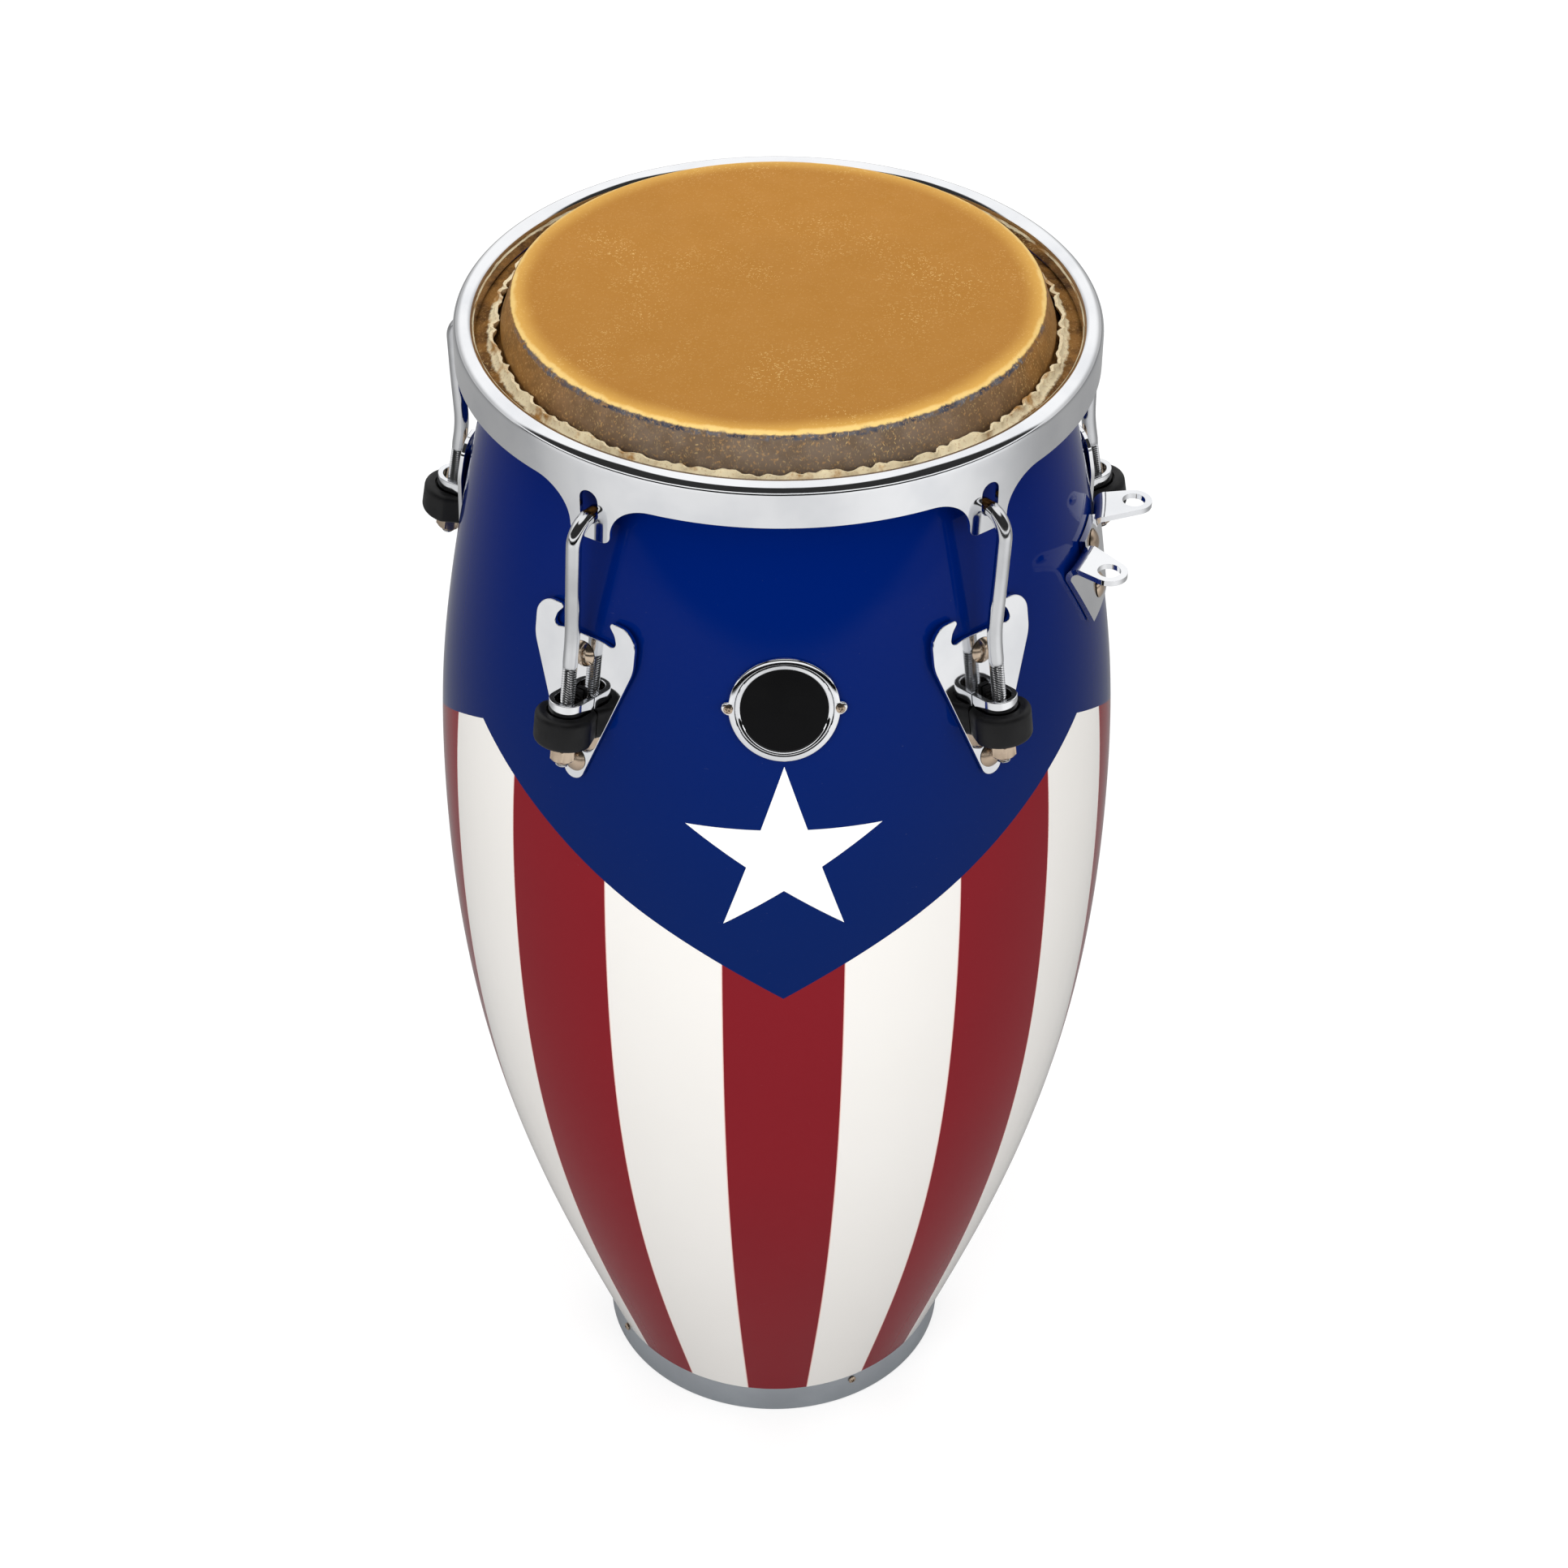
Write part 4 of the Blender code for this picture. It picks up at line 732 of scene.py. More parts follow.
# %% Bearing edge and shell
BEVEL_FOOT = HEAD_HEIGHT - 0.0182
CREST_HEIGHT = HEAD_HEIGHT - HIDE - GAP
CREST_RADIUS = NECK_RADIUS - 0.0055
CREST_ROUND = 0.0034
CREST_DEPTH = 0.008
CREST_COVER = 0.002
SHELL_SEGMENTS = 192


def bearing_edge():
    """Outside of the shell's top, from the foot of its bevel over the crest."""
    foot = (NECK_RADIUS, BEVEL_FOOT)
    crest = (CREST_RADIUS, CREST_HEIGHT)
    inside = (NECK_RADIUS - WALL, CREST_HEIGHT)
    return [foot] + [tuple(point) for point in corner_arc(foot, crest, inside, CREST_ROUND, 8)]


heights = spaced(BAND_TOP, NECK_HEIGHT, 72)
outer = [(SEAT_RADIUS, FOOT_HEIGHT + GAP), (SEAT_RADIUS, BAND_TOP)]
outer += [(shell_radius(height), height) for height in heights] + bearing_edge()
inner = [(NECK_RADIUS - WALL, CREST_HEIGHT - CREST_DEPTH)]
inner += [(shell_radius(height) - WALL, height) for height in heights[::-1]]
inner += [(SEAT_RADIUS - WALL, FOOT_HEIGHT + GAP)]
shell = to_data("shell_staves", revolve(outer + inner, SHELL_SEGMENTS))
shell.materials.append(LACQUER)
shell.materials.append(STAVES)
for face in shell.polygons:
    level = Vector((face.center.x, face.center.y, 0))
    covered = face.center.z < BAND_TOP or face.center.z > CREST_HEIGHT - CREST_COVER
    face.material_index = 1 if covered or face.normal.dot(level) < 0 else 0
put("shell_staves", shell, "drum", ["shell"])
print("faces in the shell:", len(shell.polygons))

# %% [markdown]
# ## The head
# A sheet of hide goes flat over the top, down the side, round the steel hoop from below, and up again to a
# ragged edge inside the rim. It is one sheet here too, although the plain model splits it into a part on
# the shell and a part on the rim. The cut edge waves, so its points move in and out with the azimuth.

# %% The head's mid-line
ROLL = 0.0059
SIDE_WALL = NECK_RADIUS + GAP + HIDE / 2
TOP_FLAT = 0.134
FRINGE_WAVE = 0.0034
FRINGE_RAG = 0.0016
HEAD_SEGMENTS = 540
# The hide's way down beside the shell: (out from the neck, down from the neck's height).
BELOW = [(SIDE_WALL - NECK_RADIUS, -0.0015), (SIDE_WALL - NECK_RADIUS + 0.0004, 0.0005)]
BELOW += [(0.0037, 0.0025), (0.0057, 0.0055)]
# Its way from the roll up to the cut edge: (in from the hoop, up from the hoop).
MOUTH = [(0.0034, 0.0066), (0.0058, 0.0076), (0.0075, 0.0091), (0.0087, 0.0108), (0.0093, 0.0127)]

over = [(NECK_RADIUS, NECK_HEIGHT)] + bearing_edge() + [(0.0, CREST_HEIGHT)]
over = offset_line(over, GAP + HIDE / 2)
flat_top = [(radius, over[-1][1]) for radius in spaced(0.004, TOP_FLAT, 12)]
below = [(NECK_RADIUS + out, NECK_HEIGHT - down) for out, down in BELOW]
wrap = arc((HOOP_RADIUS, HOOP_HEIGHT), ROLL, 205, 455, 26)
mouth = [(HOOP_RADIUS - inward, HOOP_HEIGHT + up) for inward, up in MOUTH]
midline = flat_top + over[1:-1][::-1] + below + wrap + mouth
print("points along the hide:", len(midline))

# %% The head's mesh
random.seed(11)
waves = [(count, random.uniform(0, 2 * math.pi)) for count in (14, 23, 37, 58, 83, 104, 131)]


def ruffle(azimuth, shift=0.0):
    """How far the cut edge waves at an azimuth, from about -1 to 1."""
    angle = math.radians(azimuth)
    total = sum(math.sin(count * angle + phase + shift) / (1 + 0.006 * count) for count, phase in waves)
    calm = 0.55 + 0.45 * abs(math.sin(angle / 2 + 0.4) * math.sin(angle * 1.5 + 1.0))
    return total / 3.2 * calm


rings = []
cut_share = []
right = offset_line(midline, HIDE / 2)
left = offset_line(midline, -HIDE / 2)
first_free = len(midline) - len(mouth)
azimuths = [360 * i / HEAD_SEGMENTS for i in range(HEAD_SEGMENTS)]
for i, (radius, height) in list(enumerate(right)) + list(enumerate(left))[::-1]:
    free = max(0.0, (i - first_free + 1) / len(mouth))
    ring = []
    for azimuth in azimuths:
        out = FRINGE_WAVE * free ** 1.5 * (ruffle(azimuth) + 0.35)
        lift = FRINGE_RAG * free ** 2 * ruffle(azimuth, 1.7)
        ring.append(around(radius + max(out, -0.0007), azimuth, height + lift))
    rings.append(ring)
    cut_share += [free] * HEAD_SEGMENTS
head = to_data("rawhide_head", ring_mesh(rings, closed=False))
store = head.attributes.new("cut_edge", "FLOAT", "POINT")
store.data.foreach_set("value", cut_share)
head.materials.append(RAWHIDE)
print("faces in the hide:", len(head.polygons))
piece = bpy.data.objects.new("rawhide_head", head)
bpy.context.scene.collection.objects.link(piece)
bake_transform(piece)
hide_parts("head_skin", "hide_tuck")

# %% [markdown]
# ## The rim
# The rim is one pressed sheet: a skirt with five slotted ears, a roll over the top, and a short leg that
# pushes the hoop down. Cutting the slots with a Boolean would leave long thin faces that spoil a chrome
# reflection. Instead the sheet is a grid whose rows bend round each slot and end on each ear's edge; the
# Solidify modifier then gives the grid its thickness.

# %% Ear and slot sizes
ROD_RADIUS = 0.0041
SLOT_HALF_WIDTH = ROD_RADIUS + 0.0015
SLOT_LENGTH = 0.0197
SLOT_RISE = 0.0093
EAR_HALF_WIDTH = SLOT_HALF_WIDTH + 0.0067
EAR_ROUND = 0.0050
EAR_FLARE = 0.0235
EAR_LENGTH = 0.0259
SKIRT_FOOT = RIM_TOP - 0.0242
EAR_FOOT = SKIRT_FOOT - EAR_LENGTH
SLOT_FOOT = EAR_FOOT + SLOT_RISE
SLOT_LOW = SLOT_FOOT + SLOT_HALF_WIDTH
SLOT_HIGH = SLOT_FOOT + SLOT_LENGTH - SLOT_HALF_WIDTH
LEG_RADIUS = HOOP_RADIUS + 0.0036
LEG_LENGTH = 0.0056
SKIRT_RADIUS = RIM_RADIUS - RIM_SHEET / 2
RIM_ROLL = (SKIRT_RADIUS - LEG_RADIUS) / 2
ROLL_HEIGHT = RIM_TOP - RIM_SHEET / 2 - RIM_ROLL
# The rim sits a little round from the lugs, in degrees, so the hooks lean sideways.
RIM_TURN = 1.25
FIRST_LUG = 36.0
EAR_AZIMUTHS = [FIRST_LUG + RIM_TURN + 360 * i / LUGS for i in range(LUGS)]


def ear_edge(offset):
    """Height of the skirt's lower edge at a distance along it from an ear's middle."""
    if offset <= EAR_HALF_WIDTH:
        over = max(0.0, offset - EAR_HALF_WIDTH + EAR_ROUND)
        return EAR_FOOT + EAR_ROUND - math.sqrt(max(EAR_ROUND ** 2 - over ** 2, 0.0))
    left = max(0.0, 1 - (offset - EAR_HALF_WIDTH) / EAR_FLARE)
    return SKIRT_FOOT - (EAR_LENGTH - EAR_ROUND) * (1 - math.sqrt(1 - left ** 2))


# %% Columns and rows of the rim's grid
def ear_columns():
    """Distances along the skirt from an ear's middle to halfway to the next, closer where an edge turns."""
    quarter = [math.radians(angle) for angle in spaced(0, 90, 9)]
    columns = [SLOT_HALF_WIDTH * math.sin(turn) for turn in quarter]
    columns += [EAR_HALF_WIDTH - EAR_ROUND * (1 - math.sin(turn)) for turn in quarter]
    flare = [math.radians(angle) for angle in spaced(0, 90, 21)[1:]]
    columns += [EAR_HALF_WIDTH + EAR_FLARE * (1 - math.cos(turn)) for turn in flare]
    half_pitch = math.pi / LUGS * RIM_RADIUS
    columns += spaced(columns[-1], half_pitch, 16)[1:-1]
    return columns


def skirt_levels(offset):
    """Heights of the skirt's top, of the two ends of a slot and of the lower edge at a column."""
    low = ear_edge(offset)
    if offset < SLOT_HALF_WIDTH:
        bow = math.sqrt(SLOT_HALF_WIDTH ** 2 - offset ** 2)
        return ROLL_HEIGHT, SLOT_HIGH + bow, SLOT_LOW - bow, low
    way = (offset - SLOT_HALF_WIDTH) / (EAR_HALF_WIDTH - SLOT_HALF_WIDTH + 0.3 * EAR_FLARE)
    way = min(way, 1.0)
    way = way * way * (3 - 2 * way)
    third = (ROLL_HEIGHT - low) / 3
    high_end = SLOT_HIGH + way * (low + 2 * third - SLOT_HIGH)
    low_end = SLOT_LOW + way * (low + third - SLOT_LOW)
    return ROLL_HEIGHT, high_end, low_end, low


BAND_ROWS = 5
ROLL_POINTS = 25
half = ear_columns()
steps = [-offset for offset in reversed(half[1:])] + half
print("columns per ear:", len(steps))

# %% Build the rim
mesh = bmesh.new()
columns = []
for azimuth in EAR_AZIMUTHS:
    for offset in steps:
        levels = skirt_levels(abs(offset))
        line = [(LEG_RADIUS, ROLL_HEIGHT - LEG_LENGTH)]
        line += arc((LEG_RADIUS + RIM_ROLL, ROLL_HEIGHT), RIM_ROLL, 180, 0, ROLL_POINTS)
        for high, low in zip(levels, levels[1:]):
            line += [(SKIRT_RADIUS, height) for height in spaced(high, low, BAND_ROWS + 1)[1:]]
        place_at = azimuth + math.degrees(offset / RIM_RADIUS)
        points = [mesh.verts.new(around(radius, place_at, height)) for radius, height in line]
        columns.append((abs(offset), points))
slot_top = ROLL_POINTS + BAND_ROWS
for (near_a, a), (near_b, b) in zip(columns, columns[1:] + columns[:1]):
    beside = max(near_a, near_b) <= SLOT_HALF_WIDTH + 1e-9
    for row in range(len(a) - 1):
        if beside and slot_top <= row < slot_top + BAND_ROWS:
            continue
        mesh.faces.new((a[row], b[row], b[row + 1], a[row + 1]))
bmesh.ops.remove_doubles(mesh, verts=mesh.verts, dist=1e-6)
bmesh.ops.recalc_face_normals(mesh, faces=mesh.faces)
rim = put("rolled_rim", to_data("rolled_rim", mesh), "tension_rim", ["rim"], CHROME)
sheet = rim.modifiers.new("sheet", "SOLIDIFY")
sheet.thickness = RIM_SHEET
sheet.offset = 0.0
bevel_edges(rim, 0.0006, segments=3, angle=50)
print("faces in the rim's grid:", len(rim.data.polygons))

# %% [markdown]
# ## Where the lugs are
# Each nut turns on its hook's axis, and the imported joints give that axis. The frame of a lug comes from it:
# Z leans in with the shell, -Y points out of the drum, and the origin is on the back of the side plate.

# %% Lug frames
PLATE = 0.0025
ROD_OUT = PLATE + 0.0108
LUG_HEIGHT = 0.600


def lug_frame(number):
    """Frame of a lug, and its lean, from the joint that its nut turns on."""
    joint = next(j for j in frame["joints"] if j["name"] == f"nut_turn_{number}")
    x, y, z = joint["pos_m"]
    ax, ay, az = joint["axis"]
    tilt = math.atan2(math.hypot(ax, ay), az)
    radius = math.hypot(x, y) - ROD_OUT * math.cos(tilt)
    turn = Matrix.Rotation(math.atan2(x, -y), 4, "Z")
    matrix = turn @ Matrix.Translation((0, -radius, LUG_HEIGHT)) @ Matrix.Rotation(-tilt, 4, "X")
    return matrix, radius, tilt


LUG_FRAMES = [lug_frame(number)[0] for number in range(1, LUGS + 1)]
LUG_RADIUS, LUG_TILT = lug_frame(1)[1:]
print("lean of a lug in degrees:", round(math.degrees(LUG_TILT), 3))


def lug_local(radius, height, turn):
    """Place in a lug's frame, about the rod's axis, of a point that is a few degrees round from the lug."""
    outward = radius * math.cos(math.radians(turn)) - LUG_RADIUS
    upward = height - LUG_HEIGHT
    out = outward * math.cos(LUG_TILT) + upward * math.sin(LUG_TILT)
    up = upward * math.cos(LUG_TILT) - outward * math.sin(LUG_TILT)
    return Vector((radius * math.sin(math.radians(turn)), ROD_OUT - out, up))


def put_on_lugs(name, mesh, nodes, material, out=0.0, up=0.0, body="drum", bevel=0.0):
    """Put a copy of the same piece on each lug."""
    data = to_data(name, mesh)
    for number, matrix in enumerate(LUG_FRAMES, start=1):
        where = matrix @ Matrix.Translation((0, -out, up))
        solids = [f"{node}_{number}" for node in nodes]
        rider = body if body == "drum" else f"{body}_{number}"
        put(f"{name}_{number}", data, rider, solids, material, where, bevel)


# %% [markdown]
# ## Side plates
# A side plate is a shield cut from polished sheet, with two horns that curl in over a notch. The outline is
# half a shape with rounded corners, mirrored; the plate is that outline raised to the sheet's thickness.

# %% Side plates
right = [
    (0.0319, 0.0280, 0.0250, 8),
    (0.0319, 0.0515, 0.0110, 12),
    (0.0132, 0.0515, 0.0018, 6),
    (0.0185, 0.0450, 0.0080, 4),
    (0.0210, 0.0368, 0.0028, 8),
    (0.0120, 0.0390, 0.0200, 3),
]
left = [(-x, up, radius, count) for x, up, radius, count in right[::-1]]
outline = rounded_outline([(0, -0.0594, 0.0065, 12)] + right + left)
plate = outwards(prism(outline, 0, PLATE))
put_on_lugs("side_plate_sheet", plate, ["side_plate"], CHROME, bevel=0.0004)

# %% [markdown]
# ## Receivers and bumpers
# A strap bent round the rod carries its load into the side plate. Under it a moulded rubber block keeps
# legs and trousers off the nut; its top is hollowed where the strap dips in, and a ribbed tongue of the
# same rubber stands behind the rod.

# %% Receivers
STRAP = 0.0030
STRAP_TOP = 0.0055
STRAP_FOOT = STRAP_TOP - 0.0085
STRAP_MIDDLE = ROD_RADIUS + 0.0027 + STRAP / 2
root = ROD_OUT - PLATE - GAP
line = [(STRAP_MIDDLE, root)] + arc((0, 0), STRAP_MIDDLE, 0, -180, 33) + [(-STRAP_MIDDLE, root)]
outline = offset_line(line, STRAP / 2) + offset_line(line, -STRAP / 2)[::-1]
strap = prism(outline, STRAP_FOOT, STRAP_TOP)
put_on_lugs("receiver_strap", strap, ["receiver"], CHROME, ROD_OUT, bevel=0.0005)

# %% Bumpers
NUT_TOP = STRAP_FOOT - GAP
BUMPER_RADIUS = 0.0165
BUMPER_ROOT = 0.0125
BUMPER_HEIGHT = 0.0162
BUMPER_ROUND = 0.0032
COLLAR_RADIUS = 0.0084
BORE = COLLAR_RADIUS + 0.0007
RECESS = STRAP_MIDDLE + STRAP / 2 + 0.0010
RECESS_FLOOR = NUT_TOP - 0.0002
LIP = 0.0018


def bumper_reach(angle, inset):
    """Distance from the rod to the bumper's side, which is round outside and runs straight to the plate."""
    x, y = math.cos(angle), math.sin(angle)
    if y <= 0:
        return BUMPER_RADIUS - inset
    taper = (BUMPER_RADIUS - BUMPER_ROOT) / root
    side = (BUMPER_RADIUS - inset) / (abs(x) + taper * y)
    return min(side, root / y)


def recess_reach(angle):
    """Distance from the rod to the side of the hollow round the strap, open towards the plate."""
    x, y = math.cos(angle), math.sin(angle)
    if y <= 0:
        return RECESS
    return min(RECESS / max(abs(x), 1e-6), root / y)


corner = math.atan2(root, BUMPER_ROOT)
back_angles = spaced(corner, math.pi - corner, 13)
angles = spaced(math.pi - corner, 2 * math.pi + corner, 72)[1:-1] + back_angles
foot = NUT_TOP - BUMPER_HEIGHT
quarter = [math.radians(turn) for turn in spaced(0, 90, 7)]
sides = [(turn, foot + BUMPER_ROUND * (1 - math.cos(turn))) for turn in quarter]
sides += [(turn, NUT_TOP + LIP - BUMPER_ROUND * (1 - math.cos(turn))) for turn in quarter[::-1]]
rings = [level_ring(angles, BORE, foot)]
for turn, up in sides:
    inset = BUMPER_ROUND * (1 - math.sin(turn))
    rings.append(level_ring(angles, [bumper_reach(angle, inset) for angle in angles], up))
hollow = [min(recess_reach(angle), bumper_reach(angle, BUMPER_ROUND)) for angle in angles]
rings += [level_ring(angles, hollow, up) for up in (NUT_TOP + LIP, RECESS_FLOOR)]
rings.append(level_ring(angles, BORE, RECESS_FLOOR))
put_on_lugs("bumper_block", ring_mesh(rings), ["bumper"], RUBBER, ROD_OUT)

# %% Ribbed tongues
TONGUE_HALF_WIDTH = 0.0027
TONGUE = 0.0029
RIB = 0.0004
tongue = []
for i, up in enumerate(spaced(NUT_TOP - 0.003, STRAP_TOP + 0.0016, 25)):
    face = root - TONGUE - (RIB if i % 4 < 2 else 0.0)
    section = [(TONGUE_HALF_WIDTH, face), (-TONGUE_HALF_WIDTH, face)]
    section += [(-TONGUE_HALF_WIDTH, root - GAP), (TONGUE_HALF_WIDTH, root - GAP)]
    tongue.append([(x, y, up) for x, y in section])
tongue = ring_mesh(tongue, closed=False)
put_on_lugs("bumper_tongue", tongue, [], RUBBER, ROD_OUT, bevel=0.0003)

# %% [markdown]
# ## Nuts
# Each nut is long and six-sided, with a thin round collar on top and a chamfer that rounds its corners off.
# A ring of 96 points takes, at each height, the smaller of the hexagon's and the chamfer cone's radius.

# %% Nuts
NUT_FLATS = 0.0127
NUT_LENGTH = 0.0277
NUT_BORE = 0.0041
NUT_ANGLES = [2 * math.pi * i / 96 for i in range(96)]
HEXAGON = [NUT_FLATS / 2 / math.cos(angle % (math.pi / 3) - math.pi / 6) for angle in NUT_ANGLES]

foot = NUT_TOP - NUT_LENGTH
full = NUT_FLATS / math.sqrt(3)
# Heights of the six-sided part, each with the cone that cuts its corners back.
shape = [(foot, NUT_BORE), (foot, NUT_FLATS / 2 * 0.93), (foot + 0.0004, NUT_FLATS / 2)]
shape += [(foot + 0.0013, full), (foot + 0.0072, full), (foot + 0.0074, full - 0.0005)]
shape += [(foot + 0.0078, full - 0.0005), (foot + 0.0080, full)]
shape += [(NUT_TOP - 0.0026, full), (NUT_TOP - 0.0019, NUT_FLATS / 2)]
rings = [level_ring(NUT_ANGLES, [min(side, cone) for side in HEXAGON], up) for up, cone in shape]
for up, reach in ((NUT_TOP - 0.0018, COLLAR_RADIUS), (NUT_TOP, COLLAR_RADIUS), (NUT_TOP, NUT_BORE)):
    rings.append(level_ring(NUT_ANGLES, reach, up))
put_on_lugs("long_nut", ring_mesh(rings), ["lug_nut"], NICKEL, ROD_OUT, body="nut", bevel=0.0002)

# %% [markdown]
# ## Hooks
# A hook is one bent rod. Its lower end has a real thread: the radius of each point depends on its height and
# on its angle, so the crest winds up as a helix. Above a short taper the plain rod bends outwards at the
# knee, runs up, passes through the ear's slot and turns down inside the skirt.

# %% Hooks
THREAD_RADIUS = 0.00395
THREAD_DEPTH = 0.0007
PITCH = 25.4 / 18 / 1000
THREAD_TOP = 0.0250
ROD_FOOT = -0.0345
ROD_CHAMFER = 0.0008
KNEE = 0.0420
KNEE_ROUND = 0.14
SHOULDER_ROUND = 0.0122
TIP_ROUND = 0.0055
TIP_LENGTH = 0.0095
HOOK_HEIGHT = SLOT_FOOT + GAP + ROD_RADIUS
HOOK_RADIUS = RIM_RADIUS + 0.0086 + ROD_RADIUS
TIP_RADIUS = RIM_RADIUS - RIM_SHEET - 0.0018 - ROD_RADIUS
SIDES = 24


def thread_ring(up):
    """Ring of the thread at a height; the groove fades out at both ends."""
    fade = min(1.0, max(0.0, (THREAD_TOP - up) / PITCH), (up - ROD_FOOT) / PITCH + 0.4)
    chamfer = max(0.0, ROD_CHAMFER - (up - ROD_FOOT))
    ring = []
    for k in range(SIDES):
        winding = (up / PITCH - k / SIDES) % 1.0
        groove = THREAD_DEPTH * abs(2 * winding - 1) * fade
        reach = THREAD_RADIUS - groove - chamfer
        angle = 2 * math.pi * k / SIDES
        ring.append(Vector((reach * math.cos(angle), -reach * math.sin(angle), up)))
    return ring


knee = LUG_HEIGHT + ROD_OUT * math.sin(LUG_TILT) + KNEE * math.cos(LUG_TILT)
corners = [Vector((0, 0, THREAD_TOP + 0.002)), Vector((0, 0, KNEE))]
corners.append(lug_local(HOOK_RADIUS, (knee + HOOK_HEIGHT) / 2, RIM_TURN / 2))
corners.append(lug_local(HOOK_RADIUS, HOOK_HEIGHT, RIM_TURN))
corners.append(lug_local(TIP_RADIUS, HOOK_HEIGHT, RIM_TURN))
corners.append(lug_local(TIP_RADIUS, HOOK_HEIGHT - TIP_LENGTH, RIM_TURN))
rounds = [(KNEE_ROUND, 10), (KNEE_ROUND, 10), (SHOULDER_ROUND, 14), (TIP_ROUND, 10)]
path = [corners[0]]
for i, (radius, count) in enumerate(rounds, start=1):
    path += corner_arc(corners[i - 1], corners[i], corners[i + 1], radius, count)
ending = (corners[-1] - corners[-2]).normalized() * ROD_CHAMFER
path += [corners[-1] - ending, corners[-1]]
radii = [ROD_RADIUS] * (len(path) - 1) + [ROD_RADIUS - ROD_CHAMFER]
turns = round((THREAD_TOP - ROD_FOOT) / PITCH)
thread = [thread_ring(up) for up in spaced(ROD_FOOT, THREAD_TOP, 6 * turns + 1)]
hook = ring_mesh(thread + sweep_rings(path, radii, SIDES), closed=False)
put_on_lugs("bent_hook", hook, ["hook"], ROD_CHROME, ROD_OUT, body="hook")
print("turns of thread on a hook:", turns)

# %% [markdown]
# ## Bolts and screws
# The plates hang on carriage bolts with plain domed heads. The badge and the band have small pan-head
# screws; their cross recess is cut with a Boolean, because it is tiny and flat and nothing reflects in it.

# %% Domed bolts
BOLT_HEAD_RADIUS = 0.0072
BOLT_HEAD_HEIGHT = 0.0030
BOLT_SHANK = 0.0030
BOLT_LENGTH = 0.0230


def bolt_mesh(seat):
    """Carriage bolt that points out of the drum, with its head on a sheet at the seat."""
    foot = seat + GAP
    ball = (BOLT_HEAD_RADIUS ** 2 + BOLT_HEAD_HEIGHT ** 2) / (2 * BOLT_HEAD_HEIGHT)
    reach = math.degrees(math.asin(BOLT_HEAD_RADIUS / ball))
    dome = arc((0, foot + BOLT_HEAD_HEIGHT - ball), ball, 90 - reach, 89.0, 12)
    return outwards(revolve([(BOLT_SHANK, -BOLT_LENGTH), (BOLT_SHANK, foot)] + dome, 40, closed=False))


for name, up in (("upper", 0.0280), ("lower", -0.0350)):
    bolt = bolt_mesh(PLATE)
    put_on_lugs(f"carriage_bolt_{name}", bolt, [f"plate_bolt_{name}"], NICKEL, up=up)

# %% Small screws
CROSS_WIDTH = 0.0006
CROSS_SPAN = 0.0026
CROSS_FLOOR = 0.0008
CROSS_DEPTH = 0.0022


def cut_away(name, blank, cutter, overlapping=False):
    """Mesh data of a blank less a cutter, whose own parts may overlap."""
    pair = []
    for mesh in (blank, cutter):
        pair.append(bpy.data.objects.new(name, to_data(name, mesh)))
        bpy.context.scene.collection.objects.link(pair[-1])
    cut = pair[0].modifiers.new("cut", "BOOLEAN")
    cut.operation = "DIFFERENCE"
    cut.solver = "EXACT"
    cut.use_self = overlapping
    cut.object = pair[1]
    result = bmesh.new()
    result.from_mesh(pair[0].evaluated_get(bpy.context.evaluated_depsgraph_get()).data)
    for item in pair:
        bpy.data.objects.remove(item)
    return to_data(name, result)


def screw_data(name):
    """Pan-head screw with a cross recess; its head stands on the frame's origin."""
    dome = [(0.0014, -0.0085), (0.0014, 0), (0.0025, 0), (0.0025, 0.0006)]
    dome += arc((0, -0.0022), 0.0037, 50, 88, 8)
    head = outwards(revolve(dome, 36, closed=False))
    cross = bmesh.new()
    middle = Matrix.Translation((0, -CROSS_FLOOR - CROSS_DEPTH / 2, 0))
    bar = middle @ Matrix.Diagonal((CROSS_WIDTH, CROSS_DEPTH, CROSS_SPAN, 1))
    for turn in (20, 110):
        bmesh.ops.create_cube(cross, size=1.0, matrix=Matrix.Rotation(math.radians(turn), 4, "Y") @ bar)
    return cut_away(name, head, cross, overlapping=True)


def leaning(azimuth, radius, height, tilt=0.0):
    """Frame on the shell whose Z leans in with the wall and whose -Y points out of it."""
    turn = Matrix.Rotation(math.radians(azimuth), 4, "Z")
    return turn @ Matrix.Translation((0, -radius, height)) @ Matrix.Rotation(-tilt, 4, "X")


SCREW = screw_data("pan_screw")
print("faces in a screw:", len(SCREW.polygons))

# %% [markdown]
# ## The foot
# A flat satin band goes round the shell's end and is held by four screws; a rubber ring under the end keeps
# the wood off the floor. Both are turned outlines with rounded edges.

# %% Band, foot ring and screws
BAND_LIFT = 0.0012
BAND_HEIGHT = 0.0197
BAND_SCREWS = 4
BAND_SCREW_HEIGHT = BAND_LIFT + 0.0153
BAND_SCREW_AZIMUTH = 26.5
top = BAND_LIFT + BAND_HEIGHT
inner = BAND_OUTER - BAND_SHEET
outline = rounded_outline([(inner, BAND_LIFT, 0.0003, 2), (BAND_OUTER, BAND_LIFT, 0.0007, 4),
                           (BAND_OUTER, top, 0.0007, 4), (inner, top, 0.0003, 2)])
band = to_data("foot_band", revolve(outline, SHELL_SEGMENTS))
put("foot_band", band, "drum", ["base_band"], BAND_METAL)
inner = SEAT_RADIUS - WALL
outline = rounded_outline([(inner, 0, 0.0010, 4), (SEAT_RADIUS, 0, 0.0012, 5),
                           (SEAT_RADIUS, FOOT_HEIGHT, 0.0003, 2), (inner, FOOT_HEIGHT, 0.0003, 2)])
put("foot_rubber", to_data("foot_rubber", revolve(outline, 160)), "drum", ["foot_ring"], RUBBER)
